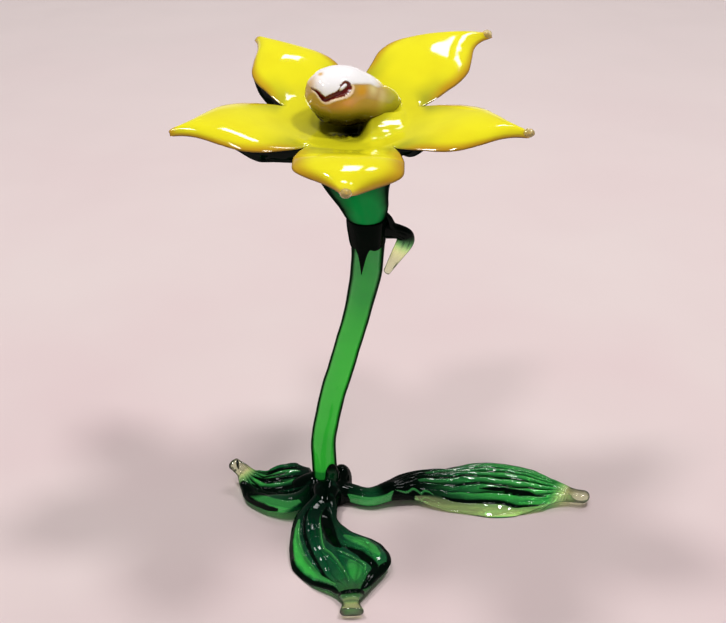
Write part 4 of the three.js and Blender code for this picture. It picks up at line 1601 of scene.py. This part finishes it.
@dataclass
class Bloom:
    """The flower: a bowl that runs out into five petals, green glass below and yellow above.

    across and along count a petal's cells. rise and run carry its middle sheet out from the ring, and
    the other curves, also keyed by the share of its length, shape it. seam is the middle sheet's
    depth under which the green begins, in mm, and gap the air between the two layers. inset is the
    share of a petal's width by which the green stays back from the yellow rim.
    """

    centre: Triple = (13, -4, 181.5)
    tilt: float = math.radians(6)
    tilted: Ramp = Ramp(-38, -6)
    neck_height: float = 141.1
    ring_radius: float = 27
    ring_height: float = 6.5
    half_width: float = 20.5
    overlay_top: float = 1.1
    thinner_sides: float = 0.25
    thinner_tip: float = 0.3
    seam: float = 0.2
    gap: float = 0.06
    wall: float = 0.4
    inset: float = 0.03
    across: int = 44
    along: int = 60
    row_power: float = 1.15
    petals: tuple[Petal, ...] = (
        Petal("right", -19.5, 73.5, 0.95, -1.4, -2, True, keel=(4.0, -1, 0.25)),
        Petal("back_right", 54, 80, 1.04, -0.6, -13.5, True, 3.4, 0.2, belly=0.25),
        Petal("back_left", 125.5, 70.5, 0.92, -2.5, -0.5, keel=(11.0, 1, 0.8)),
        Petal("left", 198.5, 74.5, 1, -1, 2, keel=(7.6, 1, 0.62)),
        Petal("front", 268.5, 71, 1.03, -0.6, 0, True, -2.4, belly=1.7, level=2.6, amber=0.42, shoulder=0.15),
    )
    rise: Curve = Curve([0, 0.2, 0.4, 0.6, 0.8, 1], [0, 3.2, 5.8, 7.5, 8.8, 9])
    run: Curve = Curve([0, 0.2, 0.4, 0.6, 0.8, 1], [0, 0.21, 0.42, 0.62, 0.81, 1])
    width: Curve = Curve(
        [0, 0.1, 0.2, 0.33, 0.5, 0.65, 0.8, 0.92, 1], [0.757, 0.81, 0.92, 1, 0.91, 0.64, 0.31, 0.13, 0.08]
    )
    arch: Curve = Curve([0, 0.2, 0.45, 0.7, 1], [0, 1.6, 3.4, 3, 1])
    curled: Curve = Curve([0, 0.3, 0.65, 0.85, 1], [0, 0.45, 1, 0.85, 0])
    pinched: Curve = Curve([0, 0.15, 0.35, 0.6, 1], [0.4, 1, 0.55, 0, 0])
    bellied: Curve = Curve([0, 0.2, 0.42, 0.62, 0.82, 1], [0, 0.5, 1, 0.2, -1, -0.2])
    back_middle: Curve = Curve([0, 0.2, 0.4, 0.6, 1], [4.4, 4, 2.8, 1.8, 0.8])
    back_edge: Curve = Curve([0, 0.1, 0.3, 1], [4.4, 2, 1, 0.8])
    neck_x: Curve = Curve([-46, -41.5, -35, -31, -25.5, -18, -10, -4], [6.2, 5.8, 4.7, 3.4, 1.9, 0.9, 0.3, 0])
    neck_y: Curve = Curve([-46, -41.5, -35, -31, -25.5, -18, -10, -4], [4.6, 4.6, 4.3, 3.8, 2.8, 1.5, 0.4, 0])
    folds: tuple[tuple[Span, Span, float], ...] = (
        ((-6.0, -8.0), (1.0, 1.4), 1.2), ((-3.4, -7.0), (0.9, 0.9), 1.0), ((-1.0, -7.4), (1.2, 0.8), 0.9),
    )
    shoulder: Shoulder = Shoulder()
    arch_middle: float = 0.35
    belly_round: float = 0.4
    set_back: float = 5.0
    straightened: Ramp = Ramp(0, 0.3)
    swollen: Span = (0.6, 0.14)
    tip_round: float = 0.07
    edge_sets_in: Ramp = Ramp(0, 0.06)
    inset_sets_in: Ramp = Ramp(0, 0.15)

    def rim(self) -> Span:
        """Radius and height of the dish's rim, where the petals begin."""
        return self.ring_radius, self.ring_height + self.overlay_top

    def borders(self, k: int) -> Span:
        """Degrees from petal k's azimuth back and on to the middles between it and its neighbours."""
        here, on, back = (self.petals[(k + n) % 5].azimuth for n in (0, 1, -1))
        return ((here - back) % 360) / 2, ((on - here) % 360) / 2

    def middle_sheet(self, k: int, u: Array, t: Array) -> Array:
        """The petal's middle sheet in the bloom's own frame.

        Near the ring the rows follow the ring's circles; further out they are straight, set back at
        the rim by 5(1-u)t^2, and the sheet arches by arch(u)(0.35 - t^2).

        Args:
            k: The petal's number.
            u: 0 at the ring to 1 at the tip.
            t: -1 to 1 across, anticlockwise.

        Returns:
            Points (..., 3) in mm.
        """
        petal = self.petals[k]
        t = np.where(t > 0, t * (1 - petal.pinch * self.pinched(u)), t)
        back, on = self.borders(k)
        azimuth = np.radians(petal.azimuth + np.where(t < 0, back, on) * t)
        radius = self.ring_radius + (petal.reach - self.ring_radius) * self.run(u)
        height = self.ring_height + self.rise(u) + petal.lift * u**3
        height = height + self.arch(u) * (self.arch_middle - np.abs(t) ** petal.level)
        height = height + petal.curl * self.curled(u) * ((1 + t) / 2) ** 2
        height = height + petal.belly * self.bellied(u) * (1 - self.belly_round * t**2)
        fanned = np.stack([np.cos(azimuth) * radius, np.sin(azimuth) * radius], -1)
        outward = math.radians(petal.azimuth)
        cos, sin = math.cos(outward), math.sin(outward)
        width = self.width(u) + petal.shoulder * hump(u, *self.swollen)
        sideways = self.half_width * petal.width * width * t + petal.bend * u**3
        inner = radius - self.set_back * (1 - u) * t**2
        straight = np.stack([inner * cos - sideways * sin, inner * sin + sideways * cos], -1)
        blend = self.straightened(u)[..., None]
        flat = fanned * (1 - blend) + straight * blend
        z = height - self.arch(u) * self.arch_middle * self.straightened.falling(u)
        return np.concatenate([flat, z[..., None]], -1)

    def place(self, points: Array) -> Array:
        """Carry points from the bloom's own frame to the part's: tilt forward, neck over to the stem.

        Args:
            points: Points (..., 3) in the bloom's frame.

        Returns:
            Points (..., 3) in the part's frame.
        """
        x, y, z = np.moveaxis(points, -1, 0)
        angle = self.tilt * self.tilted(z)
        cos, sin = np.cos(angle), np.sin(angle)
        moved = np.stack([x + self.neck_x(z), y * cos - z * sin + self.neck_y(z), y * sin + z * cos], -1)
        return moved + np.asarray(self.centre)

    def bowl(self, profile: Sequence[Span], rows: int, azimuth: Array) -> Array:
        """The bowl of revolution, from the row next to its pole out to the ring.

        Args:
            profile: Keys (radius, height) from the pole to the ring.
            rows: Rows of points, the pole's among them.
            azimuth: Angles of the ring's points.

        Returns:
            Points (rows - 1, columns, 3).
        """
        keys = np.asarray(profile, float)
        at = np.concatenate([[0], np.cumsum(np.hypot(*np.diff(keys, axis=0).T))])
        w = np.linspace(0, at[-1], rows)[1:]
        radius, height = (Curve(at, column)(w)[:, None] for column in keys.T)
        return np.stack([radius * np.cos(azimuth), radius * np.sin(azimuth), height + 0 * azimuth], -1)

    def face(
        self, profile: Sequence[Span], offset: Over, paints: dict[str, Paint], rows: int,
        inset: float = 0.0, swell: Callable[[Array, Array], Array] | None = None,
    ) -> Face:
        """One face of the bloom: a bowl of revolution and five petal patches, not welded.

        Args:
            profile: Keys (radius, height) of its profile from the pole to the ring.
            offset: Height over the petals' middle sheet as a function of u, t and the petal's number.
            paints: Each trait as a function of height in the bowl, and of u, t and k on a petal.
            rows: Rows of points in the bowl.
            inset: Share of the width by which the rim is drawn in.
            swell: Height added to the bowl, as a function of x and y in the bloom's own frame.

        Returns:
            The face.
        """
        t = np.sin(np.linspace(-1, 1, self.across + 1) * math.pi / 2)
        u = 1 - (1 - np.linspace(0, 1, self.along + 1)) ** self.row_power
        ring = np.concatenate([self.middle_sheet(k, np.zeros_like(t), t)[:-1] for k in range(5)])
        bowl = self.bowl(profile, rows, np.arctan2(ring[:, 1], ring[:, 0]))
        height = bowl[..., 2].copy()
        if swell is not None:
            bowl[..., 2] += swell(bowl[..., 0], bowl[..., 1])
        count = len(ring)
        pole = np.array([[0.0, 0.0, profile[0][1]]])
        points = [pole, bowl.reshape(-1, 3)]
        j = np.arange(count)
        faces = [
            np.stack([np.zeros(count, int), 1 + j, 1 + (j + 1) % count], -1),
            1 + grid_triangles(len(bowl), count, True)[:, ::-1],
        ]
        numbers = {name: [low(pole[:, 2]), low(height).reshape(-1)] for name, (low, _) in paints.items()}
        start = 1 + len(bowl) * count
        rims = []
        uu, tt = grid(u, t)
        for k in range(5):
            patch = self.middle_sheet(k, uu, tt * (1 - inset * self.inset_sets_in(uu)))
            patch[..., 2] += offset(uu, tt, k)
            patch[0] = np.concatenate([bowl[-1], bowl[-1]])[k * self.across : (k + 1) * self.across + 1]
            points.append(patch.reshape(-1, 3))
            faces.append(start + grid_triangles(len(u), len(t), False)[:, ::-1])
            for name, (_, high) in paints.items():
                numbers[name].append(np.broadcast_to(high(uu, tt, k), uu.shape).reshape(-1))
            index = start + np.arange(uu.size).reshape(uu.shape)
            rims.append(np.concatenate([index[:, 0], index[-1, 1:-1], index[::-1, -1]]))
            start += uu.size
        traits = {name: np.concatenate(parts) for name, parts in numbers.items()}
        return Face(np.concatenate(points), np.concatenate(faces), traits, rims)

    def body(self, upper: Face, lower: Face) -> Skin:
        """Close two faces into one body with walls along the petals' rims.

        Args:
            upper: The upper face.
            lower: The lower face.

        Returns:
            The closed skin in the part's frame.
        """
        shift = len(upper.points)
        walls = []
        for over, under in zip(upper.rims, lower.rims):
            under = under + shift
            a, b, c, d = under[:-1], under[1:], over[1:], over[:-1]
            walls += [np.stack([a, b, c], -1), np.stack([a, c, d], -1)]
        points = self.place(np.concatenate([upper.points, lower.points]))
        faces = np.concatenate([upper.triangles, lower.triangles[:, ::-1] + shift, *walls])
        traits = {name: np.concatenate([upper.traits[name], lower.traits[name]]) for name in upper.traits}
        return Skin(points, faces, traits).closed()

    def round_edge(self, u: Array, t: Array, power: float = 6.0) -> Array:
        """1 over the petal, falling as a round edge to 0 at its rim and its tip, and 1 at the ring.

        Args:
            u: Shares of the length.
            t: Places across.
            power: How square the edge is.

        Returns:
            Shares from 0 to 1.
        """
        across = np.sqrt(np.clip(1 - np.abs(t) ** power, 0, 1))
        tip = np.sqrt(np.clip(1 - np.clip((u - (1 - self.tip_round)) / self.tip_round, 0, 1) ** 2, 0, 1))
        share = across * tip
        return share + (1 - share) * self.edge_sets_in.falling(u)

    def swell(self, x: Array, y: Array) -> Array:
        """Height added to the dish: small curls under the lip, and the shoulder.

        Args:
            x: Places to the right.
            y: Places to the back.

        Returns:
            Heights in mm.
        """
        curls = 0 * x
        for (x0, y0), (half_x, half_y), rise in self.folds:
            curls = curls + rise * hump(x, x0, half_x) * hump(y, y0, half_y)
        return curls + self.shoulder.over(x, y, self.rim())

    def yellow_paints(self) -> dict[str, Paint]:
        """The overlay's traits.

        Returns:
            For each trait, its share in the bowl by height and on a petal by u, t and its number.
        """
        edge, edge_sets_in, edge_fades = Ramp(0.955, 1.0), Ramp(0.05, 0.2), Ramp(0.85, 0.95)
        warm_sets_in, throat, dish = Ramp(0.05, 0.25), Ramp(-0.2, 1.9), Ramp(1.5, 6.0)
        between, ring = Ramp(0.3, 1.0), Ramp(0, 0.2)
        valley_sets_in, valley_ends = Ramp(0, 0.1), Ramp(0.1, 0.42)
        tip_fade, margin_power, tip_gain = 0.8, 1.5, 4
        # Shares of painted olive shade at the bottom of the dish and at its ring
        shade_in_throat, shade_at_ring = 0.62, 0.28

        def rim(u: Array, t: Array, k: int) -> Array:
            """The dark line along a petal's edge, fainter at its tip."""
            return edge(np.abs(t)) * edge_sets_in(u) * (1 - tip_fade * edge_fades(u))

        def warm(u: Array, t: Array, k: int) -> Array:
            """The amber margin, and the tip's last quarter."""
            margin = np.maximum(np.abs(t) ** margin_power, 1 - (1 - u) * tip_gain)
            return Ramp(self.petals[k].amber, 1.0)(margin) * warm_sets_in(u)

        def dish_shade(z: Array) -> Array:
            """Painted olive shade in the dish, deeper towards the throat."""
            return shade_in_throat + (shade_at_ring - shade_in_throat) * dish(z)

        def vein(u: Array, t: Array, k: int) -> Array:
            """Painted olive shade in the valleys between petals, and the dish's shade running out into them.
            """
            valley = between(np.abs(t)) * valley_sets_in(u) * valley_ends.falling(u)
            return valley + shade_at_ring * ring.falling(u)

        # throat is painted near-black shade at the bottom of the dish, under the lip
        return {
            "rim": (nothing, rim), "warm": (nothing, warm),
            "throat": (throat.falling, nothing), "vein": (dish_shade, vein),
        }

    def overlay(self) -> Skin:
        """The yellow glass: 1.5 mm thick with a rounded edge.

        Returns:
            The closed skin.
        """
        under = self.ring_height - self.wall
        inside = [(0, -0.6), (5, 0.7), (9.5, 2.2), (14, 3.6), (20, 5.45), self.rim()]
        outside = [(0, -38), (5, -34), (7, -24), (9.8, -13), (13.2, -5.4), (19, 1), (self.ring_radius, under)]
        thinned = Ramp(0, 0.2)

        def top(u: Array, t: Array, k: int) -> Array:
            """Upper face over the middle sheet, thinner towards rim and tip."""
            full = self.overlay_top - self.thinner_sides * t**2 * thinned(u) - self.thinner_tip * u
            return -self.seam + (full + self.seam) * self.round_edge(u, t, 5)

        def bottom(u: Array, t: Array, k: int) -> Array:
            """Lower face under the middle sheet."""
            return -self.seam - self.seam * self.round_edge(u, t)

        paints = self.yellow_paints()
        return self.body(
            self.face(inside, top, paints, rows=110, swell=self.swell),
            self.face(outside, bottom, paints, rows=30),
        )

    def green_back(self) -> Skin:
        """The green glass: funnel and hulls under the petals, drawn in a little from the yellow rim.

        Returns:
            The closed skin.
        """
        base = self.neck_height - self.centre[2]
        under = self.ring_height - self.wall - self.gap
        inside = [
            (0, -38 - self.gap), (5.1, -34 - self.gap), (7.1, -24.1), (9.9, -13.1), (13.3, -5.5), (19.1, 0.9),
            (self.ring_radius, under),
        ]
        outside = [
            (0, base), (7.6, base), (8.5, base + 0.6), (9.8, -36.5), (11.2, -32), (13.3, -26), (16.7, -17),
            (21, -7.5), (self.ring_radius, under - float(self.back_middle(0.0))),
        ]
        hull, keel_place, keel_fades, ring = Ramp(0.0, 0.12), (0.84, 0.22), 0.55, Ramp(0, 0.12)
        greened, darkened = Ramp(-30, -4), Ramp(-41.2, -38.5)
        ring_green, collar_dark = 0.34, 0.3

        def top(u: Array, t: Array, k: int) -> Array:
            """Upper face, close under the yellow."""
            return -self.seam - self.seam * self.round_edge(u, t) - self.gap

        def bottom(u: Array, t: Array, k: int) -> Array:
            """Lower face: a hull, deepest along the petal's middle and along its keel."""
            deepest, hand, end = self.petals[k].keel
            shown = hull(u) * Ramp(end * keel_fades, end).falling(u)
            keel = deepest * shown * hump(t * hand, *keel_place)
            depth = self.back_edge(u) + (self.back_middle(u) - self.back_edge(u)) * (1 - t**2) + keel
            return -self.seam - self.gap - (self.seam + depth) * self.round_edge(u, t, 5)

        def funnel(z: Array) -> Array:
            """Mid green down the funnel, painted darker towards the petals as their shade, dark again at the
            collar.
            """
            return ring_green + (1 - ring_green) * greened.falling(z) - collar_dark * darkened.falling(z)

        def hulls(u: Array, t: Array, k: int) -> Array:
            """Near-black on the petals, partly painted shade under them, greener where they leave the ring.
            """
            return ring_green * ring.falling(u)

        paints: dict[str, Paint] = {"funnel": (funnel, hulls)}
        return self.body(
            self.face(inside, top, paints, rows=20, inset=self.inset),
            self.face(outside, bottom, paints, rows=80, inset=self.inset),
        )

    def bead(self, k: int) -> Skin:
        """A drop at petal k's tip, a little flattened and uneven.

        Args:
            k: The petal's number.

        Returns:
            The closed skin.
        """
        radius, flat, place = 2.2, 0.8, 0.985
        uneven, wave = 0.05, 3.0
        tip = self.place(self.middle_sheet(k, np.array([place]), np.array([0.0])))[0]
        drop = ball(40, 48, 0.03) * (1, 1, flat) * radius
        drop = drop * (1 + uneven * ripple(drop, wave, seed=k)[..., None])
        return tube_skin(tip + drop, {})

    def build(self, yellow: Material, green: Material, clear: Material) -> None:
        """Make both layers and the clear beads.

        Args:
            yellow: Finish of the overlay.
            green: Finish of the backs and funnel.
            clear: Finish of the beads.
        """
        settle(self.overlay(), "petals_and_throat", yellow, ["corolla"])
        settle(self.green_back(), "funnel_and_backs", green, ["calyx"])
        for k, petal in enumerate(self.petals):
            if petal.bead:
                nodes = [f"petal_bead_{petal.name}"]
                settle(self.bead(k), f"tip_drop_{petal.name}", clear, nodes)


# ---- lip


@dataclass(frozen=True)
class Dab:
    """A soft spot of a trait on the lip: its middle and half-sizes in mm, and its strength."""

    trait: str
    middle: Triple
    half: Triple
    share: float = 1.0

    def cover(self, points: Array) -> Array:
        """Its strength at points: share * exp(-|(point - middle) / half|^2)."""
        off = (points - np.asarray(self.middle)) / np.asarray(self.half)
        return self.share * np.exp(-(off**2).sum(axis=-1))


@dataclass(frozen=True)
class Line:
    """A line laid on a surface."""

    points: Array
    share: Array

    @classmethod
    def laid(cls, keys: Sequence[Triple], surface: Array, count: int = 120) -> "Line":
        """Lay the smooth line through keys on a surface.

        Args:
            keys: The line's keys.
            surface: Points (n, 3) of the surface; the line is moved to the nearest of them.
            count: Points of the line.

        Returns:
            The line.
        """
        fine, share = smooth_line(keys, count)
        near = np.linalg.norm(surface[None] - fine[:, None], axis=-1).argmin(axis=1)
        return cls(surface[near], share)

    def away(self, points: Array) -> tuple[Array, Array]:
        """Distance of each point (..., 3) from the line, and the share along it, each (...)."""
        gaps = np.linalg.norm(points[..., None, :] - self.points, axis=-1)
        return gaps.min(axis=-1), self.share[gaps.argmin(axis=-1)]


@dataclass
class Lip:
    """The drop of glass over the throat: a white fold above, its mouth a groove with a rolled edge.

    at, x, y, z and radius are the drop's line. slit and core are the lines of the mouth and of the
    white core in its end, on which a highlight is painted, and slit_half the mouth's half-width along
    it. fold gives the height, by x, of the line over which the white fold begins. pressed, core_rise,
    roll_rise and fold_rise are how far these forms stand in or out, all in mm.
    """

    at: Row = (0, 0.12, 0.3, 0.5, 0.7, 0.87, 0.96, 1)
    x: Row = (32, 28.5, 21.6, 14.2, 7, 0.6, -2.6, -3.8)
    y: Row = (10.5, 8.5, 4.5, 0, -4.5, -8.5, -10.4, -11.2)
    z: Row = (188.6, 189.4, 191.3, 194.6, 197.4, 198.1, 197.4, 197)
    radius: Row = (2, 5.4, 8.5, 11.0, 11.8, 9.5, 5.4, 2)
    slit: tuple[Triple, ...] = (
        (-2.9, -11.6, 203.7), (-1.4, -13.2, 203.3), (0.1, -14.6, 202.7), (1.5, -15.2, 201.4),
        (2.9, -15.4, 200.5), (4.3, -15.2, 201.1), (6.2, -14.9, 201.7), (8.0, -14.4, 202.2),
        (9.5, -13.6, 203.0), (10.5, -12.9, 203.9), (10.8, -12.5, 204.6),
    )
    core: tuple[Triple, ...] = ((8.6, -13.4, 203.7), (9.7, -12.9, 204.4), (10.7, -12.2, 205.1))
    slit_half: Curve = Curve(
        [0, 0.12, 0.3, 0.5, 0.68, 0.82, 0.93, 1], [0.35, 0.5, 0.9, 1.1, 1.3, 2.2, 2.45, 2.05]
    )
    fold: Curve = Curve(
        [-5, -2.9, -1.4, 0.1, 1.3, 2.5, 4.2, 6.2, 8.0, 9.5, 11, 12.6, 15.8, 19.9, 24, 28],
        [
            204.3, 203.8, 203.4, 202.8, 201.8, 201.0, 201.4, 201.9, 202.5, 203.4, 204.6, 204.9, 204.2, 202.5,
            199.5, 197,
        ],
    )
    dabs: tuple[Dab, ...] = (
        Dab("peach", (-4.0, -9.7, 204.4), (4.0, 4.4, 3.8), 1.0),
        Dab("peach", (0.6, -8.2, 208.2), (1.1, 1.5, 0.9), 1.3),
        Dab("pink", (5.5, -17.0, 198.6), (4.6, 5.0, 2.8), 0.9),
        Dab("orange", (11.4, -15.0, 199.0), (4.6, 4.0, 2.6), 0.85),
        Dab("amber", (17.0, -10.0, 201.6), (3.4, 4.0, 2.6), 1.0),
        Dab("pale", (21.6, -5.2, 200.6), (2.7, 3.4, 2.6), 0.62),
        Dab("pale", (24.8, -2.8, 196.2), (2.4, 3.4, 3.2), 0.36),
    )
    rows: int = 260
    columns: int = 260
    blunt_end: float = 0.045
    mouth_side: Span = (-4.0, 196.0)
    pressed: float = 1.1
    core_rise: float = 0.8
    roll_rise: float = 0.5
    roll_place: Span = (0.75, 0.75)
    fold_rise: float = 0.35
    uneven: float = 0.2
    wave: float = 22.0
    crowned: Ramp = Ramp(-0.2, 0.25)
    crown_ends: Ramp = Ramp(21, 27)
    sets_in: Ramp = Ramp(0.0, 0.1)
    ends: Ramp = Ramp(0.9, 1.0)
    drawn_in: float = 0.4
    rolled: tuple[Ramp, Ramp] = (Ramp(-0.1, 0.2), Ramp(0.7, 1.25))
    mouth_form: Ramp = Ramp(0.55, 1.05)
    core_form: Ramp = Ramp(0.3, 0.9)
    glint_reach: Ramp = Ramp(0.45, 0.75)
    core_ends: Ramp = Ramp(0.8, 1.0)
    fold_step: tuple[Ramp, Ramp] = (Ramp(-0.3, 0.4), Ramp(3, 9))
    fold_sets_in: Ramp = Ramp(-4, 0)
    tail_from: Ramp = Ramp(20, 29)
    tail_lean: float = 0.5
    tail_middle: float = 192.0
    shaded: Ramp = Ramp(190.2, 197.6)
    shade_lean: float = 0.10
    shade_middle: float = 8.0
    shade_lost: float = 0.8
    shade_fades: Ramp = Ramp(15, 25)
    mouth_edge: Ramp = Ramp(-0.15, 0.12)

    def drop(self) -> tuple[Array, Array]:
        """The plain drop: circles along its line, its front end rounded off.

        Returns:
            Rings and the directions out of them, each (rows, columns, 3).
        """
        w = 0.5 - 0.5 * np.cos(math.pi * np.linspace(0, 1, self.rows))
        centres = np.stack([Curve(self.at, v)(w) for v in (self.x, self.y, self.z)], -1)
        ring = circles(centres, UP, self.columns)
        past = np.clip((w - (1 - self.blunt_end)) / self.blunt_end, 0, 1)
        radius = Curve(self.at, self.radius)(w) * np.sqrt(np.clip(1 - past**2, 0.0004, 1))
        return centres[:, None] + ring * radius[:, None, None], ring

    def skin(self) -> Skin:
        """The drop, pressed in along the mouth, with a rolled edge under it.

        The white fold stands a little proud of the body over a line that runs on from the mouth.

        Returns:
            The closed skin.
        """
        rings, ring = self.drop()
        x, y, z = np.moveaxis(rings, -1, 0)
        face = rings[(y < self.mouth_side[0]) & (z > self.mouth_side[1])]
        far, share = Line.laid(self.slit, face).away(rings)
        cored, _ = Line.laid(self.core, face).away(rings)
        half = self.slit_half(share)
        gap = far - half
        above = z - self.fold(x)
        # The white fold: white glass, its white partly a painted reflection of the light above
        crown = self.crowned(above) * self.crown_ends.falling(x)
        taper = self.sets_in(share) * (1 - self.drawn_in * self.ends(share))
        roll = self.rolled[0](gap) * self.rolled[1].falling(gap) * (1 - crown)
        depth = far / half
        press = self.core_rise * self.core_form.falling(cored) - self.pressed * self.mouth_form.falling(depth)
        swell = self.roll_rise * hump(gap, *self.roll_place) * (1 - crown) * taper
        first, last = self.fold_step
        step = self.fold_rise * (first(above) - last(above)) * self.fold_sets_in(x)
        uneven = self.uneven * ripple(rings, self.wave, seed=11)
        # Painted shade: darker down the underside, less towards the tail
        underside = self.shaded.falling(z + self.shade_lean * (x - self.shade_middle))
        # glint is a painted highlight over the white core in the mouth's end
        traits = {
            "crown": crown,
            "tail": self.tail_from(x - self.tail_lean * (z - self.tail_middle)),
            "shade": underside * (1 - self.shade_lost * self.shade_fades(x)),
            "roll": roll * taper,
            "slit": self.mouth_edge.falling(gap),
            "glint": self.glint_reach.falling(cored) * self.core_ends.falling(depth),
        }
        rings = rings + ring * (press + swell + step + uneven)[..., None]
        for dab in self.dabs:
            traits[dab.trait] = np.maximum(traits.get(dab.trait, 0.0), dab.cover(rings))
        return tube_skin(rings, traits)

    def build(self, glass: Material) -> None:
        """Make the lip."""
        settle(self.skin(), "lip_drop", glass, ["lip", "lip_slit", "lip_roll"])


# ---- studio


@dataclass(frozen=True)
class Lamp:
    """An area light aimed at the bloom: its place and its width and height in metres, power in watts."""

    name: str
    place: Triple
    size: Span
    power: float
    shape: str = "ELLIPSE"
    colour: Colour = (1.0, 0.985, 0.97)
    aim: Triple = (0.015, 0.0, 0.15)

    def build(self) -> None:
        """Make the light and turn it to its aim."""
        data = bpy.data.lights.new(self.name, "AREA")
        data.shape = self.shape
        data.size, data.size_y = self.size
        data.energy = self.power
        data.color = self.colour
        lamp = bpy.data.objects.new(self.name, data)
        lamp.location = self.place
        way = np.asarray(self.aim) - np.asarray(self.place)
        pitch = math.atan2(math.hypot(way[0], way[1]), -way[2])
        lamp.rotation_euler = (pitch, 0.0, math.atan2(-way[0], way[1]))
        bpy.context.scene.collection.objects.link(lamp)


@dataclass
class Studio:
    """Paper floor, soft lights, a pale room and the camera; sizes in metres unless they say mm."""

    target: Triple = (0.0174, 0.0, 0.096)
    elevation: float = math.radians(30)
    distance: float = 0.7
    lens: float = 80.73
    sensor: float = 36.0
    clip: Span = (0.01, 20.0)
    paper_half_mm: float = 2000.0
    paper_drop_mm: float = 0.15
    paper_points: int = 9
    sky: tuple[tuple[float, Colour], ...] = (
        (0.0, (0.74, 0.62, 0.60)), (0.07, (0.70, 0.60, 0.58)),
        (0.22, (0.18, 0.165, 0.165)), (1.0, (0.08, 0.08, 0.08)),
    )
    lamps: tuple[Lamp, ...] = (
        Lamp("key_right", (0.34, 0.0, 1.0), (0.14, 0.14), 3.4),
        Lamp("key_left", (-0.34, 0.10, 1.0), (0.14, 0.14), 3.3),
        Lamp("key_front", (-0.10, -0.22, 1.02), (0.12, 0.12), 1.7),
        Lamp("window_right", (0.37, 0.53, 1.0), (0.14, 0.10), 0.7, "RECTANGLE"),
        Lamp("window_middle", (0.12, 0.60, 1.0), (0.17, 0.12), 1.1, "RECTANGLE"),
    )

    def floor(self) -> None:
        """A square sheet of pale paper, just under the glass."""
        edge = np.linspace(-self.paper_half_mm, self.paper_half_mm, self.paper_points)
        y, x = grid(edge, edge)
        points = np.stack([x, y, np.full_like(x, -self.paper_drop_mm)], -1).reshape(-1, 3)
        faces = grid_triangles(self.paper_points, self.paper_points, False)
        sheet = Skin(points, faces).object("paper_floor")
        sheet.data.materials.append(Paper().material("pale_paper"))

    def room(self) -> None:
        """World light: pale at the horizon, darker overhead, so that glass edges read dark."""
        world = bpy.data.worlds.new("room")
        world.use_nodes = True
        tree = world.node_tree
        tree.nodes.clear()
        way = add_node(tree, "ShaderNodeTexCoord", output="Generated")
        height = add_node(tree, "ShaderNodeSeparateXYZ", {}, {0: way}, "Z")
        sky = colour_ramp(tree, height.clamped(), self.sky)
        light = add_node(tree, "ShaderNodeBackground", {}, {"Color": sky})
        add_node(tree, "ShaderNodeOutputWorld", {}, {"Surface": light}, output=None)
        bpy.context.scene.world = world

    def camera(self) -> None:
        """The camera, level, looking down at the figure."""
        data = bpy.data.cameras.new("camera")
        data.lens = self.lens
        data.sensor_width = self.sensor
        data.clip_start, data.clip_end = self.clip
        eye = bpy.data.objects.new("camera", data)
        x, y, z = self.target
        back, up = self.distance * math.cos(self.elevation), self.distance * math.sin(self.elevation)
        eye.location = (x, y - back, z + up)
        eye.rotation_euler = (math.pi / 2 - self.elevation, 0.0, 0.0)
        bpy.context.scene.collection.objects.link(eye)
        bpy.context.scene.camera = eye

    def build(self) -> None:
        """Set the whole studio up."""
        bpy.context.scene.view_settings.view_transform = "Standard"
        self.camera()
        self.floor()
        self.room()
        for lamp in self.lamps:
            lamp.build()


# The rod's glass, with its own colours of painted light and painted glow
ROD_GLASS = ClearGreenGlass(
    tint=(0.004, 0.16, 0.022), bright=(0.045, 0.38, 0.030), glow_bright=(0.012, 0.24, 0.024),
    outlined=(0.40, 6.0), sheen=0.2,
)


def main() -> None:
    """Build every piece in order and report it."""
    logging.basicConfig(level=logging.INFO, format="%(name)s: %(message)s")
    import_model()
    Studio().build()

    green = ClearGreenGlass().material("leaf_glass")
    Stem().build(ROD_GLASS.material("rod_glass"))
    Collar().build(CasedGreen(sheen=0.03).material("collar_glass"))
    Knot().build(green)
    for leaf in leaves():
        leaf.build(green)
    Bloom().build(
        OpaqueYellow().material("yellow_glass_opaque"),
        CasedGreen().material("cased_green_glass"),
        ClearGlass().material("clear_glass_drop"),
    )
    Lip().build(LipGlass().material("lip_glass_opaque"))


if __name__ == "__main__":
    main()
